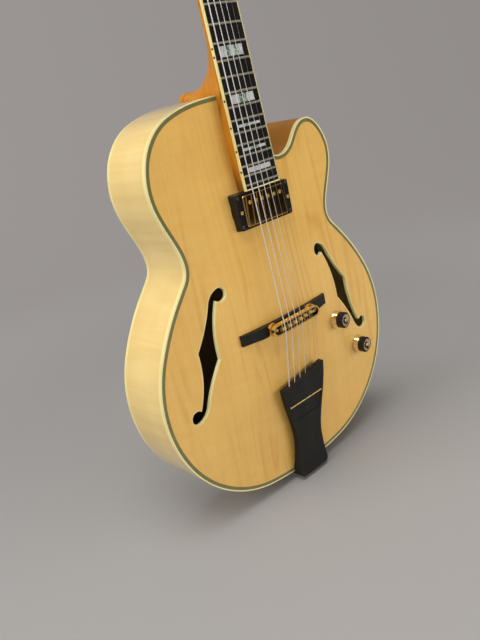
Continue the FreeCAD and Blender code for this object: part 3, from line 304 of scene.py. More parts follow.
def mouldedFinish(name, look):
    material, tree, shader = startFinish(name, look["shader"])
    speck = noiseOn(tree, stretched(tree, look["speck"]))
    colour = ramp(tree, speck, look["colours"])
    if "front" in look:
        colour = frontTone(tree, colour, look["front"])
    dress(tree, shader, colour, speck, look, fineDepth)
    return material


bindingLook = {
    "shader": {**lacquer, "Specular IOR Level": 0.4, "Subsurface Weight": 0.08, "Subsurface Scale": 0.002},
    "speck": (25.0, 25.0, 25.0),
    "colours": [(0.3, (0.72, 0.61, 0.25)), (0.7, (0.79, 0.68, 0.31))],
    "roughness": (0.38, 0.28),
    "bump": 0.02,
}
# The f-hole bindings: a brighter cream than the binding elsewhere, painted light on the walls inside the
# holes
litHoleLook = {
    **bindingLook,
    "shader": {"Specular IOR Level": 0.4, "Subsurface Weight": 0.4, "Subsurface Scale": 0.004,
               "Subsurface Radius": (1.0, 0.9, 0.6)},
    "front": (0.66, 0.48, 0.18),
    "colours": [(0.3, (0.93, 0.79, 0.36)), (0.7, (0.96, 0.84, 0.42))],
}
boneLook = {
    "shader": {"Specular IOR Level": 0.45, "Subsurface Weight": 0.1, "Subsurface Scale": 0.002},
    "speck": (160.0, 400.0, 400.0),
    "colours": [(0.3, (0.70, 0.63, 0.47)), (0.7, (0.80, 0.74, 0.60))],
    "roughness": (0.42, 0.30),
    "bump": 0.05,
}
plasticLook = {
    "shader": {"Specular IOR Level": 0.3},
    "speck": (700.0, 700.0, 700.0),
    "colours": [(0.3, (0.007, 0.007, 0.007)), (0.7, (0.011, 0.011, 0.011))],
    "roughness": (0.22, 0.15),
    "bump": 0.02,
}
gripLook = {**plasticLook, "roughness": (0.40, 0.30)}
dotAndSlotShadeLook = {**plasticLook, "roughness": (0.55, 0.45)}
redLook = {**plasticLook, "colours": [(0.3, (0.42, 0.05, 0.02)), (0.7, (0.58, 0.12, 0.04))]}
greenLook = {**plasticLook, "colours": [(0.3, (0.05, 0.22, 0.06)), (0.7, (0.14, 0.36, 0.12))]}
amberLook = {**plasticLook, "colours": [(0.3, (0.58, 0.28, 0.05)), (0.7, (0.74, 0.44, 0.12))]}
veneerLook = {
    **plasticLook,
    "shader": {"Coat Weight": 0.15, "Coat Roughness": 0.25, "Specular IOR Level": 0.2},
    "speck": (300.0, 300.0, 12.0),
    "roughness": (0.50, 0.42),
}


def metalFinish(name, look):
    material, tree, shader = startFinish(name, {"Metallic": 1.0, **look.get("shader", {})})
    smear = noiseOn(tree, stretched(tree, look["smear"]), detail=5.0)
    dress(tree, shader, ramp(tree, smear, look["colours"]), smear, look, fineDepth)
    return material


goldLook = {
    "smear": (90.0, 90.0, 90.0),
    "colours": [(0.3, (0.84, 0.56, 0.17)), (0.7, (0.93, 0.67, 0.26))],
    "roughness": (0.13, 0.21),
}
paleGoldLook = {
    **goldLook,
    "colours": [(0.3, (0.90, 0.68, 0.40)), (0.7, (0.96, 0.78, 0.52))],
    "roughness": (0.10, 0.18),
}
# The channel between the frame's walls is painted dark: painted shade in the recess
frameShadeLook = {**goldLook, "dark": (0.035, 0.020, 0.007), "wall": 0.0020, "ends": 0.0030, "rim": 0.0012}
# The pickup cover: gold darkened, a painted reflection of dark surroundings in its face
darkenedGoldLook = {
    "smear": (60.0, 60.0, 60.0),
    "colours": [(0.3, (0.55, 0.33, 0.11)), (0.7, (0.62, 0.38, 0.14))],
    "roughness": (0.05, 0.07),
}
fretLook = {
    "shader": {"Metallic": 0.6},
    "smear": (60.0, 400.0, 400.0),
    "colours": [(0.3, (0.45, 0.40, 0.29)), (0.7, (0.55, 0.49, 0.37))],
    "roughness": (0.22, 0.32),
}
steelLook = {
    "smear": (300.0, 300.0, 300.0),
    "colours": [(0.3, (0.46, 0.45, 0.44)), (0.7, (0.58, 0.57, 0.55))],
    "roughness": (0.24, 0.34),
}
lineLook = {**goldLook, "shader": {"Metallic": 0.45}}
saddleLook = {
    **goldLook,
    "shader": {"Metallic": 0.7},
    "colours": [(0.3, (0.80, 0.52, 0.13)), (0.7, (0.90, 0.62, 0.19))],
    "roughness": (0.18, 0.26),
}
darkSteelLook = {
    "smear": (200.0, 200.0, 200.0),
    "colours": [(0.3, (0.12, 0.115, 0.11)), (0.7, (0.19, 0.18, 0.17))],
    "roughness": (0.30, 0.42),
}
dullSteelLook = {
    "smear": (200.0, 200.0, 200.0),
    "colours": [(0.3, (0.40, 0.38, 0.34)), (0.7, (0.55, 0.53, 0.49))],
    "roughness": (0.35, 0.50),
}


# Gold outside, and painted shade within the box that the frame's walls leave between them
def frameShadeFinish(name, look):
    material = metalFinish(name, look)
    tree = material.node_tree
    base = tree.nodes["Principled BSDF"].inputs["Base Color"]
    low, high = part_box("bridge_frame")
    place = addNode(tree, "ShaderNodeTexCoord")["Object"]
    centred = addNode(tree, "ShaderNodeMapping", {"Vector": place, "Location": -(low + high) / 2})["Vector"]
    apart = addNode(tree, "ShaderNodeSeparateXYZ", {"Vector": centred})
    inside = maths(tree, "GREATER_THAN", apart["Y"], (low.y - high.y) / 2 + look["rim"])
    halfLength = (high.x - low.x) / 2 - look["ends"]
    halfWidth = (high.z - low.z) / 2 - look["wall"]
    for axis, reach in (("X", halfLength), ("Z", halfWidth)):
        within = maths(tree, "LESS_THAN", maths(tree, "ABSOLUTE", apart[axis]), reach)
        inside = maths(tree, "MULTIPLY", inside, within)
    # painted shade: the inside of the channel takes the dark tone instead of gold
    feed(tree, base, mixColour(tree, inside, base.links[0].from_socket, (*look["dark"], 1.0)))
    return material


# The wrap of a wound string shows as fine rings along its run, darker in the grooves between the wraps:
# painted shade
woundLook = {"rings": 2600.0, "colours": [(0.2, (0.54, 0.52, 0.50)), (0.75, (0.88, 0.87, 0.85))],
             "metal": 0.5, "roughness": (0.42, 0.26), "bump": 0.6}


def woundFinish(name, look):
    material, tree, shader = startFinish(name, {"Metallic": look["metal"]})
    values = {"Vector": stretched(tree, (1.0, 1.0, look["rings"])), "Scale": 1.0, "Distortion": 0.0}
    wraps = addNode(tree, "ShaderNodeTexWave", values, bands_direction="Z", wave_profile="SIN")["Fac"]
    dress(tree, shader, ramp(tree, wraps, look["colours"]), wraps, look, fineDepth)
    return material


def shellFinish(name, look):
    material, tree, shader = startFinish(name, look["shader"])
    warp = noiseOn(tree, stretched(tree, look["warp"]), detail=3.0, distortion=1.2)
    glint = noiseOn(tree, stretched(tree, look["glint"]), detail=2.0, distortion=2.0)
    body = ramp(tree, warp, look["colours"])
    flash = ramp(tree, glint, look["flashes"])
    dress(tree, shader, mixColour(tree, look["flashShare"], body, flash), glint, look, fineDepth)
    return material


pearlLook = {
    "shader": {"Specular IOR Level": 0.6, "Coat Weight": 0.5, "Coat Roughness": 0.1},
    "warp": (190.0, 60.0, 60.0),
    "glint": (320.0, 200.0, 90.0),
    "colours": [(0.34, (0.27, 0.275, 0.28)), (0.5, (0.43, 0.43, 0.425)), (0.64, (0.58, 0.575, 0.56))],
    "flashes": [(0.38, (0.33, 0.38, 0.40)), (0.5, (0.52, 0.51, 0.49)), (0.62, (0.48, 0.41, 0.40))],
    "flashShare": 0.35,
    "roughness": (0.16, 0.30),
}
abaloneLook = {
    "shader": pearlLook["shader"],
    "warp": (260.0, 90.0, 170.0),
    "glint": (380.0, 200.0, 240.0),
    "colours": [(0.38, (0.003, 0.006, 0.016)), (0.46, (0.006, 0.035, 0.060)), (0.53, (0.08, 0.32, 0.20)),
                (0.60, (0.50, 0.62, 0.44)), (0.68, (0.05, 0.03, 0.08))],
    "flashes": [(0.42, (0.003, 0.010, 0.025)), (0.48, (0.05, 0.28, 0.22)), (0.53, (0.72, 0.66, 0.36)),
                (0.59, (0.56, 0.36, 0.36)), (0.66, (0.03, 0.04, 0.09))],
    "flashShare": 0.5,
    "roughness": (0.16, 0.30),
}


# Olive strips with fine dark lines between, laid out across the strip by the piece's own attribute
purflingLook = {
    "shader": {**lacquer, "Specular IOR Level": 0.3, "Roughness": 0.4},
    "stops": [(0.0, (0.085, 0.075, 0.028)), (0.09, (0.175, 0.165, 0.058)), (0.44, (0.075, 0.068, 0.026)),
              (0.56, (0.175, 0.165, 0.058)), (0.91, (0.085, 0.075, 0.028))],
    "mottle": (60.0, 60.0, 60.0),
    "mottleColours": [(0.3, (0.85, 0.85, 0.85)), (0.7, (1.0, 1.0, 1.0))],
}


def purflingFinish(name, look):
    material, tree, shader = startFinish(name, look["shader"])
    across = addNode(tree, "ShaderNodeAttribute", attribute_name="across")["Fac"]
    lines = ramp(tree, across, look["stops"], "CONSTANT")
    shade = ramp(tree, noiseOn(tree, stretched(tree, look["mottle"])), look["mottleColours"])
    feed(tree, shader["Base Color"], mixColour(tree, 1.0, lines, shade, "MULTIPLY"))
    return material


recipes = (
    (lacqueredWood, {"topWood": topLook, "rimMaple": rimLook, "cutawayMapleShaded": shadedCutawayLook,
                     "backMaple": backLook, "neckMaple": neckLook, "insideWood": insideLook}),
    (ebonyWood, {"boardEbony": boardLook, "satinEbony": satinLook}),
    (mouldedFinish, {"creamBinding": bindingLook, "holeBindingLit": litHoleLook, "bone": boneLook,
                     "blackPlastic": plasticLook, "knobGrip": gripLook, "dotBlackSlotShade": dotAndSlotShadeLook,
                     "redStone": redLook, "greenStone": greenLook, "amberStone": amberLook,
                     "headVeneer": veneerLook}),
    (metalFinish, {"gold": goldLook, "paleGold": paleGoldLook, "coverGoldDarkened": darkenedGoldLook,
                   "inlaidGold": lineLook, "saddleGold": saddleLook, "fretMetal": fretLook,
                   "stringSteel": steelLook, "dullSteel": dullSteelLook, "darkSteel": darkSteelLook}),
    (frameShadeFinish, {"frameGoldShaded": frameShadeLook}),
    (woundFinish, {"woundSteel": woundLook}),
    (shellFinish, {"pearl": pearlLook, "abalone": abaloneLook}),
    (purflingFinish, {"purfling": purflingLook}),
)
finishes = {name: make(name, look) for make, looks in recipes for name, look in looks.items()}
print("finishes made:", len(finishes))

nodeFinish = {
    "topWood": ["top_plate"],
    "rimMaple": ["rim_bass", "rim_treble"],
    "cutawayMapleShaded": ["rim_cutaway"],
    "backMaple": ["back_plate"],
    "neckMaple": ["neck", "heel_cap"],
    "insideWood": ["neck_block", "tail_block", "tone_bars"],
    "boardEbony": ["fingerboard"],
    "satinEbony": ["bridge_base", "tailpiece"],
    "creamBinding": ["top_binding", "back_binding", "fingerboard_binding"],
    "holeBindingLit": ["f_hole_bindings"],
    "bone": ["nut"],
    "blackPlastic": ["pickup_ring", "truss_rod_cover", "pickup_core"],
    "knobGrip": ["volume_knob_grip", "tone_knob_grip"],
    "headVeneer": ["headstock_veneer"],
    "frameGoldShaded": ["bridge_frame"],
    "paleGold": ["volume_knob", "tone_knob"],
    "saddleGold": ["saddles"],
    "gold": ["bridge_posts", "thumbwheel_bass", "thumbwheel_treble", "tailpiece_hinge",
             "tuner_housings", "tuner_bushings", "end_pin",
             "output_jack", "pickup_height_screw_bass", "pickup_height_screw_treble"]
            + ["tuner_post_%d" % n for n in range(1, 7)] + ["tuner_button_%d" % n for n in range(1, 7)],
    "coverGoldDarkened": ["pickup_cover"],
    "inlaidGold": ["tailpiece_inlay"],
    "fretMetal": ["frets"],
    "dullSteel": ["pots", "truss_rod"],
    "pearl": ["pearl_inlays"],
    "abalone": ["abalone_inlays"],
    "stringSteel": ["plain_strings"],
    "woundSteel": ["wound_strings"],
    "purfling": ["top_purfling"],
}
for finish, names in nodeFinish.items():
    for name in names:
        data = frame["nodes"][name].data
        data.materials.clear()
        data.materials.append(finishes[finish])
print("nodes dressed:", sum(len(names) for names in nodeFinish.values()))


# Making pieces

mergeWithin = {"new": 1e-7, "cad": 1e-6}


def standing(spot, axis):
    turn = Vector(axis).to_track_quat("Z", "X").to_matrix().to_4x4()
    return Matrix.Translation(Vector(spot)) @ turn


def settle(shape, before, place, index):
    fresh = [vert for vert in shape.verts if vert not in before]
    bmesh.ops.remove_doubles(shape, verts=fresh, dist=mergeWithin["new"])
    fresh = [vert for vert in shape.verts if vert not in before]
    faces = {face for vert in fresh for face in vert.link_faces}
    bmesh.ops.recalc_face_normals(shape, faces=list(faces))
    for face in faces:
        face.material_index = index
    bmesh.ops.transform(shape, matrix=place, verts=fresh)


# An outline drawn in shares of a radius and a height
def scaled(outline, wide, tall):
    return [(wide * across, tall * along) for across, along in outline]


# A turned form: pairs of radius and height, spun about the place's own axis
def turned(shape, profile, place, steps=32, index=0):
    before = set(shape.verts)
    verts = [shape.verts.new((radius, 0.0, height)) for radius, height in profile]
    edges = [shape.edges.new(pair) for pair in zip(verts, verts[1:])]
    bmesh.ops.spin(shape, geom=verts + edges, cent=(0, 0, 0), axis=(0, 0, 1), dvec=(0, 0, 0),
                   angle=2 * math.pi, steps=steps, use_merge=True, use_duplicate=False)
    settle(shape, before, place, index)


# A bar with rounded edges, centred on the place
def bar(shape, size, rounding, place, index=0):
    before = set(shape.verts)
    made = bmesh.ops.create_cube(shape, size=1.0)
    bmesh.ops.scale(shape, vec=size, verts=made["verts"])
    edges = list({edge for vert in made["verts"] for edge in vert.link_edges})
    bmesh.ops.bevel(shape, geom=edges, offset=rounding, offset_type="OFFSET", affect="EDGES",
                    segments=2, profile=0.5, material=-1)
    settle(shape, before, place, index)


def piece(name, shape, looks, body=None, sharp=35.0):
    mesh = bpy.data.meshes.new(name)
    shape.to_mesh(mesh)
    shape.free()
    made = bpy.data.objects.new(name, mesh)
    scene.collection.objects.link(made)
    for look in looks:
        mesh.materials.append(finishes[look])
    mesh.shade_smooth()
    mesh.set_sharp_from_angle(angle=math.radians(sharp))
    if body:
        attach(made, body)
    return made


def mergedCopy(name):
    shape = bmesh.new()
    shape.from_mesh(frame["nodes"][name].data)
    bmesh.ops.remove_doubles(shape, verts=shape.verts, dist=mergeWithin["cad"])
    return shape


# The purfling again, with a share across its width for the fine lines
purflingStrip = {"width": 0.0043}


def layPurfling():
    shape = mergedCopy("top_purfling")
    edge = mergedCopy("top_binding")
    tree = BVHTree.FromBMesh(edge)
    shares = [min(1.0, tree.find_nearest(vert.co)[3] / purflingStrip["width"]) for vert in shape.verts]
    edge.free()
    made = piece("purfling_lines", shape, ["purfling"], root)
    attribute = made.data.attributes.new("across", "FLOAT", "POINT")
    attribute.data.foreach_set("value", shares)
    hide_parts("top_purfling")


layPurfling()
print("purfling laid")


# The neck again, with the two corners of its tenon tucked in beside the heel
neckTuck = {"corner": (0.018, 0.02825, 0.5045), "inward": (-0.00373, 0.0, -0.00505), "near": 0.0004}


def tuckTenon():
    shape = mergedCopy("neck")
    for side in (-1, 1):
        flip = Matrix.Diagonal((side, 1, 1))
        spot = flip @ Vector(neckTuck["corner"])
        verts = [vert for vert in shape.verts if (vert.co - spot).length < neckTuck["near"]]
        bmesh.ops.translate(shape, vec=flip @ Vector(neckTuck["inward"]), verts=verts)
    made = piece("neck_shape", shape, ["neckMaple"], root)
    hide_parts("neck")


tuckTenon()
print("neck tucked")


# Strings: treble to bass, each a tail run to its saddle and a speaking run to its post
stringRun = {
    "diameters": (0.00033, 0.00043, 0.00066, 0.00091, 0.00117, 0.00142),
    "plain": 2,
    "nutSpread": 0.036, "saddleSpread": 0.050, "tailSpread": 0.053,
    "boardRadius": 0.305, "boardFront": -0.06985, "saddleHeight": 0.2185, "neckAngle": 3.05,
    "headAngle": 14.0, "headPlace": (0.0, 0.0046, 0.63365), "nutHeight": 0.63115, "nutFloor": 0.0016,
    "action": 0.0056, "compensation": 0.003, "gap": 0.00015,
    "tailMiddle": 0.1389, "tailSlope": 11.8 / 77.0, "ballBack": 0.0051,
    "tailFront": -0.05055, "tailLean": 15.2 / 127.8, "tailCrease": 0.017, "tailDepth": 0.0029,
    "postRadius": 0.0033, "windingSpace": 0.0007, "windingStart": -0.0114, "eighths": 12,
    "bend": 0.0012, "ball": (0.0019, 0.0036), "sides": 4, "smoothness": 5, "wireUnit": 0.001,
    "drawIn": 0.925,
    "barrel": ((0, -0.5), (0.8, -0.5), (1, -0.38), (0.8, -0.2), (0.8, 0.2), (1, 0.38), (0.8, 0.5), (0, 0.5)),
}
stringCount = len(stringRun["diameters"])
neckFrame = Matrix.Translation((0.0, stringRun["boardFront"], stringRun["saddleHeight"]))
neckFrame = neckFrame @ Matrix.Rotation(-math.radians(stringRun["neckAngle"]), 4, "X")
headFrame = neckFrame @ Matrix.Translation(stringRun["headPlace"])
headFrame = headFrame @ Matrix.Rotation(-math.radians(stringRun["headAngle"]), 4, "X")


def crownDrop(x):
    radius = stringRun["boardRadius"]
    return radius - math.sqrt(radius * radius - x * x)


def stringShare(index):
    return index / (stringCount - 1)


def saddlePlace(index):
    share = stringShare(index)
    x = stringRun["saddleSpread"] * (0.5 - share)
    y = stringRun["boardFront"] - stringRun["action"] + crownDrop(x) - stringRun["gap"]
    return Vector((x, y - stringRun["diameters"][index] / 2,
                   stringRun["saddleHeight"] - stringRun["compensation"] * share))


def tailPlace(index):
    x = stringRun["tailSpread"] * (0.5 - stringShare(index))
    z = stringRun["tailMiddle"] + stringRun["tailSlope"] * x - stringRun["ballBack"]
    y = stringRun["tailFront"] - stringRun["tailLean"] * (z - stringRun["tailCrease"])
    return Vector((x, y + stringRun["tailDepth"], z))


def nutPlace(index):
    x = stringRun["nutSpread"] * (0.5 - stringShare(index))
    y = crownDrop(x) - stringRun["nutFloor"] - stringRun["diameters"][index] / 2
    return neckFrame @ Vector((x, y, stringRun["nutHeight"]))


# Eight control points a turn, a little wide, because the smooth line runs inside them
def windingPoints(index):
    diameter = stringRun["diameters"][index]
    post = headFrame.inverted() @ Vector(joints["tuner_post_%d" % (index + 1)]["pos_m"])
    nut = headFrame.inverted() @ nutPlace(index)
    side = math.copysign(1.0, post.x)
    radius = stringRun["postRadius"] + diameter / 2
    away = Vector((post.x - nut.x, post.z - nut.z))
    course = math.atan2(away.y, away.x) + side * math.asin(radius / away.length)
    first = course + side * math.pi / 2
    pitch = diameter + stringRun["windingSpace"]
    points = []
    for step in range(stringRun["eighths"] + 1):
        angle = first - side * step * math.pi / 4
        wide = radius / (stringRun["drawIn"] if step else 1.0)
        spot = Vector((post.x + wide * math.cos(angle), stringRun["windingStart"] + pitch * step / 8,
                       post.z + wide * math.sin(angle)))
        points.append(headFrame @ spot)
    return points


def corner(before, spot, after):
    reach = stringRun["bend"]
    return [spot + (before - spot).normalized() * reach, spot, spot + (after - spot).normalized() * reach]


def tubes(routes, sides):
    curve = bpy.data.curves.new("stringRoute", "CURVE")
    curve.dimensions = "3D"
    curve.bevel_depth = stringRun["wireUnit"]
    curve.bevel_resolution = sides
    curve.use_fill_caps = True
    for diameter, points in routes:
        spline = curve.splines.new("NURBS")
        spline.points.add(len(points) - 1)
        for place, spot in zip(spline.points, points):
            place.co = (*spot, 1.0)
            place.radius = diameter / 2 / curve.bevel_depth
        spline.order_u = 3
        spline.use_endpoint_u = True
        spline.resolution_u = stringRun["smoothness"]
    carrier = bpy.data.objects.new("stringRoute", curve)
    scene.collection.objects.link(carrier)
    bpy.context.view_layer.update()
    mesh = bpy.data.meshes.new_from_object(carrier.evaluated_get(bpy.context.evaluated_depsgraph_get()))
    bpy.data.objects.remove(carrier)
    bpy.data.curves.remove(curve)
    shape = bmesh.new()
    shape.from_mesh(mesh)
    bpy.data.meshes.remove(mesh)
    bmesh.ops.remove_doubles(shape, verts=shape.verts, dist=mergeWithin["new"])
    bmesh.ops.recalc_face_normals(shape, faces=shape.faces)
    return shape


def strungSet(name, indices, look, node):
    spans = []
    tails = []
    for index in indices:
        diameter = stringRun["diameters"][index]
        saddle, nut, tail = saddlePlace(index), nutPlace(index), tailPlace(index)
        winding = windingPoints(index)
        spans.append((diameter, [saddle] + corner(saddle, nut, winding[0]) + winding))
        tails.append((diameter, [tail, saddle]))
    made = piece(name + "_runs", tubes(spans, stringRun["sides"]), [look])
    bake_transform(made)
    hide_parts(node)
    shape = tubes(tails, stringRun["sides"])
    barrel = scaled(stringRun["barrel"], *stringRun["ball"])
    for index in indices:
        turned(shape, barrel, standing(tailPlace(index), (1, 0, 0)), steps=24)
    made = piece(name + "_tails", shape, [look])
    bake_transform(made)


strungSet("plain_string", range(stringRun["plain"]), "stringSteel", "plain_strings")
strungSet("wound_string", range(stringRun["plain"], stringCount),
          "woundSteel", "wound_strings")
print("strings strung")


# Dots on the bass side of the fingerboard: fret space and the number of dots in it
sideDots = {"spaces": ((3, 1), (5, 1), (7, 1), (9, 1), (12, 2), (15, 1), (17, 1), (19, 1), (21, 1)),
            "radius": 0.0014, "stand": 0.00006, "sunk": 0.00048, "depth": 0.0024, "apart": 0.009,
            "scale": 0.62865, "nutHalf": 0.0227, "endHalf": 0.0283, "endFret": 22}


def fretHeight(number):
    return sideDots["scale"] * 2.0 ** (-number / 12.0)


def sideHalf(height):
    low = fretHeight(sideDots["endFret"])
    share = (height - low) / (sideDots["scale"] - low)
    return sideDots["endHalf"] + (sideDots["nutHalf"] - sideDots["endHalf"]) * share


def layDots():
    shape = bmesh.new()
    radius, stand, sunk = (sideDots[key] for key in ("radius", "stand", "sunk"))
    profile = [(0, stand), (radius * 0.8, stand), (radius, stand * 0.2), (radius, -sunk), (0, -sunk)]
    for space, count in sideDots["spaces"]:
        middle = (fretHeight(space) + fretHeight(space - 1)) / 2
        for dot in range(count):
            height = middle + (dot - (count - 1) / 2) * sideDots["apart"]
            spot = neckFrame @ Vector((-sideHalf(height), sideDots["depth"], height))
            turned(shape, profile, standing(spot, (-1, 0, 0)), steps=20)
    piece("side_dots", shape, ["dotBlackSlotShade"], root)


layDots()
print("side dots laid")


# Slotted and crossed screw heads, with black bars let in at these angles as the slots: painted shade in the
# slots
screws = {
    "ring": {"radius": 0.0021, "height": 0.0008, "inset": (0.0045, 0.0048), "slots": (30, 120)},
    "pole": {"radius": 0.0023, "height": 0.0005, "pitch": 0.0101, "offset": 0.0095,
             "slots": (20,), "turnBy": 35},
    "height": {"radius": 0.0022, "height": 0.0005, "slots": (65,)},
    "saddle": {"radius": 0.0016, "height": 0.0012, "rise": 0.0009, "slots": (75,), "turnBy": 20},
    "rod": {"radius": 0.0009, "core": 0.00072, "pitch": 0.0007, "wall": 0.0018},
    "cover": {"radius": 0.0016, "height": 0.0006, "sightFrom": -0.05, "slots": (25, 115),
              "spots": ((-0.0078, 0.0068), (0.0078, 0.0068), (0.0, 0.0375))},
    "dome": ((0, 1), (0.55, 0.92), (0.88, 0.62), (1, 0.2), (1, -0.3), (0, -0.3)),
    "slot": {"long": 1.55, "wide": 0.26, "deep": 0.3, "rounding": 0.06, "level": 0.9},
}


def screwHead(shape, screw, place, turn=0):
    radius, height, slot = screw["radius"], screw["height"], screws["slot"]
    turned(shape, scaled(screws["dome"], radius, height), place, steps=24)
    size = (radius * slot["long"], radius * slot["wide"], height * slot["deep"])
    for angle in screw["slots"]:
        cut = place @ Matrix.Translation((0, 0, height * slot["level"]))
        cut = cut @ Matrix.Rotation(math.radians(angle + turn), 4, "Z")
        # the slot is a black bar, finish 1: painted shade
        bar(shape, size, height * slot["rounding"], cut, 1)


def ringScrews():
    low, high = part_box("pickup_ring")
    insetX, insetZ = screws["ring"]["inset"]
    shape = bmesh.new()
    for x in (low.x + insetX, high.x - insetX):
        for z in (low.z + insetZ, high.z - insetZ):
            screwHead(shape, screws["ring"], standing((x, low.y, z), (0, -1, 0)))
    piece("ring_screws", shape, ["darkSteel", "dotBlackSlotShade"], root)


def poleHeads():
    low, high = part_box("pickup_cover")
    pole = screws["pole"]
    middle = (low.z + high.z) / 2 + pole["offset"]
    shape = bmesh.new()
    for step in range(stringCount):
        x = pole["pitch"] * (step - (stringCount - 1) / 2)
        screwHead(shape, pole, standing((x, low.y, middle), (0, -1, 0)), pole["turnBy"] * step)
    piece("pole_heads", shape, ["saddleGold", "dotBlackSlotShade"], "pickup")


def heightHeads():
    for side in ("bass", "treble"):
        name = "pickup_height_screw_" + side
        low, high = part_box(name)
        shape = bmesh.new()
        spot = ((low.x + high.x) / 2, low.y, (low.z + high.z) / 2)
        screwHead(shape, screws["height"], standing(spot, (0, -1, 0)))
        piece("height_head_" + side, shape, ["saddleGold", "dotBlackSlotShade"], name)


# Six threaded rods across the frame, with slotted heads on its neck side
def saddleScrews():
    low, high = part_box("bridge_frame")
    rod, saddle = screws["rod"], screws["saddle"]
    reach = high.z - low.z - 2 * rod["wall"]
    turns = int(reach / rod["pitch"])
    thread = [(0, 0)]
    for turn in range(turns):
        thread += [(rod["core"], turn * rod["pitch"]), (rod["radius"], (turn + 0.5) * rod["pitch"])]
    thread += [(rod["core"], turns * rod["pitch"]), (0, turns * rod["pitch"])]
    heads = bmesh.new()
    rods = bmesh.new()
    for index in range(stringCount):
        spot = Vector((saddlePlace(index).x, (low.y + high.y) / 2 - saddle["rise"], high.z))
        screwHead(heads, saddle, standing(spot, (0, 0, 1)), saddle["turnBy"] * index)
        foot = spot - Vector((0, 0, high.z - low.z - rod["wall"]))
        turned(rods, thread, standing(foot, (0, 0, 1)), steps=14)
    piece("saddle_screws", heads, ["saddleGold", "dotBlackSlotShade"], "bridge")
    piece("saddle_rods", rods, ["gold"], "bridge", sharp=60.0)


# Where a line into a node first meets it
def meeting(name, start, way):
    shape = mergedCopy(name)
    spot = BVHTree.FromBMesh(shape).ray_cast(start, way)[0]
    shape.free()
    return spot


def coverScrews():
    shape = bmesh.new()
    front = (headFrame.to_3x3() @ Vector((0, -1, 0))).normalized()
    cover = screws["cover"]
    for x, z in cover["spots"]:
        spot = meeting("truss_rod_cover", headFrame @ Vector((x, cover["sightFrom"], z)), -front)
        screwHead(shape, cover, standing(spot, front))
    piece("cover_screws", shape, ["gold", "dotBlackSlotShade"], root)


ringScrews()
poleHeads()
heightHeads()
saddleScrews()
coverScrews()
print("screws set")


# The end of each knob: a black ring in the floor of its dish and the domed end of its shaft
knobEnd = {"floor": 0.0018, "inner": 0.00212, "outer": 0.0041, "lift": 0.0003,
           "stud": 0.00206, "studTop": 0.0001}


def knobEnds(name):
    axis = Vector(joints[name]["axis"]).normalized()
    spot = Vector(joints[name]["pos_m"])
    top = max((vert.co - spot).dot(axis) for vert in frame["nodes"][name].data.vertices)
    place = standing(spot + axis * top, axis)
    low, lift = -knobEnd["floor"], knobEnd["lift"]
    shape = bmesh.new()
    ring = [(knobEnd["inner"], low), (knobEnd["inner"], low + lift), (knobEnd["outer"] - lift, low + lift),
            (knobEnd["outer"], low + 1.2 * lift), (knobEnd["outer"], low), (knobEnd["inner"], low)]
    turned(shape, ring, place)
    piece(name + "_lining", shape, ["knobGrip"], name)
    stud, rise = knobEnd["stud"], knobEnd["studTop"]
    shape = bmesh.new()
    dome = [(0, rise), (stud * 0.45, rise - lift * 0.2), (stud * 0.8, rise - lift * 0.8),
            (stud, rise - lift * 1.8), (stud, low), (0, low)]
    turned(shape, dome, place)
    piece(name + "_stud", shape, ["inlaidGold"], name)


for knob in ("volume_knob", "tone_knob"):
    knobEnds(knob)
print("knobs finished")


# Small stones along the tailpiece's gold line: share of its length, radius and finish
stones = {"rows": ((0.0, 0.0016, 0), (0.17, 0.0011, 1), (0.32, 0.0010, 3), (0.5, 0.0013, 2),
                   (0.68, 0.0011, 1), (0.84, 0.0010, 3), (1.0, 0.0011, 0)),
          "height": 0.5, "end": 0.0008,
          "dome": ((0, 1), (0.5, 0.85), (0.85, 0.5), (1, 0), (1, -1), (0, -1))}


def layStones():
    spots = [vert.co.copy() for vert in frame["nodes"]["tailpiece_inlay"].data.vertices]
    ends = []
    for limit in (min(spot.x for spot in spots), max(spot.x for spot in spots)):
        near = [spot for spot in spots if abs(spot.x - limit) < stones["end"]]
        front = min(spot.y for spot in near)
        middle = sum(near, Vector()) / len(near)
        ends.append(Vector((middle.x, front, middle.z)))
    facing = Vector((0.0, -1.0, -stringRun["tailLean"])).normalized()
    shape = bmesh.new()
    for share, radius, finish in stones["rows"]:
        dome = scaled(stones["dome"], radius, radius * stones["height"])
        place = standing(ends[0].lerp(ends[1], share), facing)
        turned(shape, dome, place, steps=16, index=finish)
    piece("line_stones", shape, ["gold", "redStone", "greenStone", "amberStone"], root)


layStones()
print("stones laid")


# Six-sided nut and its washer round the output jack
jackNut = {"place": (0.2025, 0.0, 0.165484), "way": (1.0, 0.0, 0.0), "bore": 0.0047, "flats": 0.0072,
           "thick": 0.0018, "edge": 0.0004, "washer": 0.0085, "washerThick": 0.0005}


def setJackNut():
    place = standing(jackNut["place"], jackNut["way"])
    bore, wide, thick, edge = (jackNut[key] for key in ("bore", "flats", "thick", "edge"))
    shape = bmesh.new()
    nut = [(bore, 0), (wide, 0), (wide, thick - edge), (wide - edge, thick), (bore, thick), (bore, 0)]
    turned(shape, nut, place, steps=6)
    rim, thin = jackNut["washer"], jackNut["washerThick"]
    washer = [(bore, 0), (rim, 0), (rim, thin * 0.6), (rim - thin * 0.4, thin), (bore, thin), (bore, 0)]
    turned(shape, washer, place, steps=40)
    piece("jack_nut", shape, ["gold"], root, sharp=25.0)


setJackNut()
print("jack finished")


# Camera, floor and lamps
view = {"place": (-0.5328, -0.63395, 0.4947), "aim": (-0.0336, -0.0019, 0.2230), "roll": -12.73,
        "lens": 36.78, "sensor": 36.0, "near": 0.01}


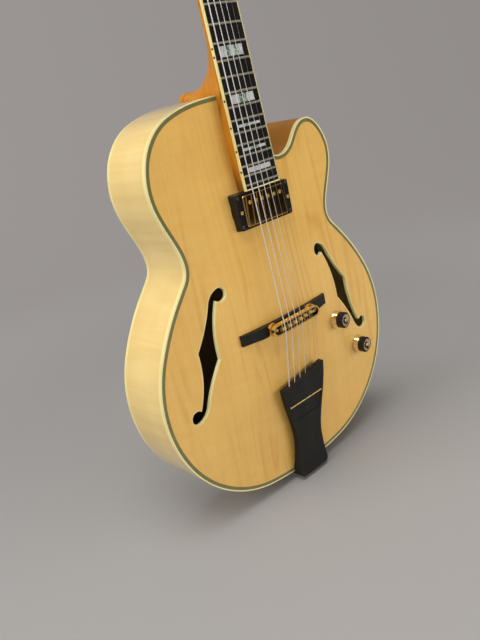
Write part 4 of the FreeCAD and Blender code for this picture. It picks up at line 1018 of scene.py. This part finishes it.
def setCamera():
    data = bpy.data.cameras.new("photoView")
    data.lens = view["lens"]
    data.sensor_width = view["sensor"]
    data.sensor_fit = "AUTO"
    data.clip_start = view["near"]
    camera = bpy.data.objects.new("photoView", data)
    scene.collection.objects.link(camera)
    look = (Vector(view["aim"]) - Vector(view["place"])).to_track_quat("-Z", "Y").to_matrix().to_4x4()
    roll = Matrix.Rotation(math.radians(view["roll"]), 4, "Z")
    camera.matrix_world = Matrix.Translation(view["place"]) @ look @ roll
    scene.camera = camera


studio = {
    "radius": 3.6, "cove": 1.2, "coveSteps": 12, "height": 5.0, "steps": 96,
    "gap": 0.0005, "downward": -0.001,
    "cloud": (0.6, 0.6, 0.6),
    "near": ((0.322, 0.309, 0.299), (0.342, 0.329, 0.319)),
    "far": (0.52, 0.505, 0.49),
    # backdrop tones, left and right: painted shade, darker towards the right front
    "backdrop": ((0.345, 0.322, 0.308), (0.272, 0.253, 0.242)),
    "fade": (0.55, 1.7), "across": (0.78, -0.62, 0.0), "spread": 2.6,
    "world": (0.62, 0.61, 0.60), "worldStrength": 0.6,
}


# Pale paper near the object, and further off a backdrop tone for the camera and for reflections, darker
# towards the right front: painted shade
def paperFinish():
    material, tree, shader = startFinish("paperSweep", matt)
    low, high = studio["near"]
    cloud = noiseOn(tree, stretched(tree, studio["cloud"]), detail=2.0)
    tone = ramp(tree, cloud, [(0.3, low), (0.7, high)])
    place = addNode(tree, "ShaderNodeTexCoord")["Object"]
    level = {0: place, 1: (1.0, 1.0, 0.0)}
    flat = addNode(tree, "ShaderNodeVectorMath", level, operation="MULTIPLY")["Vector"]
    away = addNode(tree, "ShaderNodeVectorMath", {0: flat}, operation="LENGTH")["Value"]
    start, end = studio["fade"]
    fade = {"Value": away, "From Min": start, "From Max": end}
    share = addNode(tree, "ShaderNodeMapRange", fade, interpolation_type="SMOOTHSTEP")["Result"]
    feed(tree, shader["Base Color"], mixColour(tree, share, tone, (*studio["far"], 1.0)))
    # painted shade: the backdrop tone runs from the lighter left tone to the darker right one across the
    # studio
    across = {0: place, 1: studio["across"]}
    side = addNode(tree, "ShaderNodeVectorMath", across, operation="DOT_PRODUCT")["Value"]
    reach = studio["spread"]
    spread = {"Value": side, "From Min": -reach, "From Max": reach}
    shadeShift = addNode(tree, "ShaderNodeMapRange", spread)["Result"]
    left, right = studio["backdrop"]
    backdrop = ramp(tree, shadeShift, [(0.0, left), (1.0, right)])
    glow = addNode(tree, "ShaderNodeEmission", {"Color": backdrop})["Emission"]
    path = addNode(tree, "ShaderNodeLightPath")
    seen = path["Is Camera Ray"]
    for ray in ("Is Glossy Ray", "Is Transmission Ray"):
        seen = maths(tree, "MAXIMUM", seen, path[ray])
    shown = maths(tree, "MULTIPLY", seen, share)
    paper = tree.nodes["Principled BSDF"].outputs["BSDF"]
    mixed = addNode(tree, "ShaderNodeMixShader", {0: shown, 1: paper, 2: glow})["Shader"]
    feed(tree, tree.nodes["Material Output"].inputs["Surface"], mixed)
    return material


def setStudio():
    floor = cadBox[0][2] - studio["gap"]
    reach, cove = studio["radius"], studio["cove"]
    profile = [(0.0, 0.0), (reach - cove, 0.0)]
    for step in range(1, studio["coveSteps"] + 1):
        angle = math.pi / 2 * step / studio["coveSteps"]
        profile.append((reach - cove + cove * math.sin(angle), cove - cove * math.cos(angle)))
    profile.append((reach, studio["height"]))
    shape = bmesh.new()
    turned(shape, profile, Matrix.Translation((0, 0, floor)), studio["steps"])
    undersides = [face for face in shape.faces if face.normal.z < studio["downward"]]
    bmesh.ops.reverse_faces(shape, faces=undersides)
    mesh = bpy.data.meshes.new("studioFloor")
    shape.to_mesh(mesh)
    shape.free()
    mesh.shade_smooth()
    made = bpy.data.objects.new("studioFloor", mesh)
    scene.collection.objects.link(made)
    mesh.materials.append(paperFinish())
    world = bpy.data.worlds.new("studioWorld")
    world.use_nodes = True
    sky = world.node_tree.nodes["Background"]
    sky.inputs["Color"].default_value = (*studio["world"], 1.0)
    sky.inputs["Strength"].default_value = studio["worldStrength"]
    scene.world = world


# A dark card off to the right, which shows in the polished metal and not to the camera
darkCard = {"place": (1.30, -1.45, 0.10), "aim": (0.0, -0.05, 0.32), "size": 1.7, "speck": (14.0, 14.0, 14.0),
            "tones": ((0.010, 0.009, 0.008), (0.020, 0.018, 0.016))}


def setCard():
    shape = bmesh.new()
    bmesh.ops.create_grid(shape, x_segments=4, y_segments=4, size=darkCard["size"] / 2)
    way = Vector(darkCard["aim"]) - Vector(darkCard["place"])
    bmesh.ops.transform(shape, matrix=standing(darkCard["place"], way), verts=shape.verts)
    mesh = bpy.data.meshes.new("darkCard")
    shape.to_mesh(mesh)
    shape.free()
    made = bpy.data.objects.new("darkCard", mesh)
    scene.collection.objects.link(made)
    material, tree, shader = startFinish("cardBlack", matt)
    low, high = darkCard["tones"]
    felt = noiseOn(tree, stretched(tree, darkCard["speck"]))
    feed(tree, shader["Base Color"], ramp(tree, felt, [(0.3, low), (0.7, high)]))
    mesh.materials.append(material)
    made.visible_camera = made.visible_diffuse = made.visible_shadow = False


lamps = {
    "overhead": {"place": (-0.7, -0.5, 2.6), "aim": (0.0, 0.0, 0.3), "size": (1.8, 1.8), "power": 50.0},
    "leftWall": {"place": (-2.2, 0.5, 1.2), "aim": (0.0, 0.0, 0.3), "size": (1.6, 2.0), "power": 31.0},
    "front": {"place": (1.10, -1.60, 0.31), "aim": (0.05, 0.0, 0.12), "size": (1.8, 0.6), "power": 25.0,
              "soft": True},
    "frontLeft": {"place": (-1.5, -1.4, 0.7), "aim": (0.0, 0.0, 0.3), "size": (1.2, 1.2), "power": 9.0,
                  "soft": True},
}


def setLamps():
    for name, lamp in lamps.items():
        data = bpy.data.lights.new(name, "AREA")
        data.shape = "RECTANGLE"
        data.size, data.size_y = lamp["size"]
        data.energy = lamp["power"]
        made = bpy.data.objects.new(name, data)
        scene.collection.objects.link(made)
        way = (Vector(lamp["aim"]) - Vector(lamp["place"])).to_track_quat("-Z", "Y").to_matrix().to_4x4()
        made.matrix_world = Matrix.Translation(lamp["place"]) @ way
        made.visible_glossy = not lamp.get("soft", False)


setCamera()
setStudio()
setCard()
setLamps()
print("camera, floor and lamps set")

bpy.context.view_layer.update()
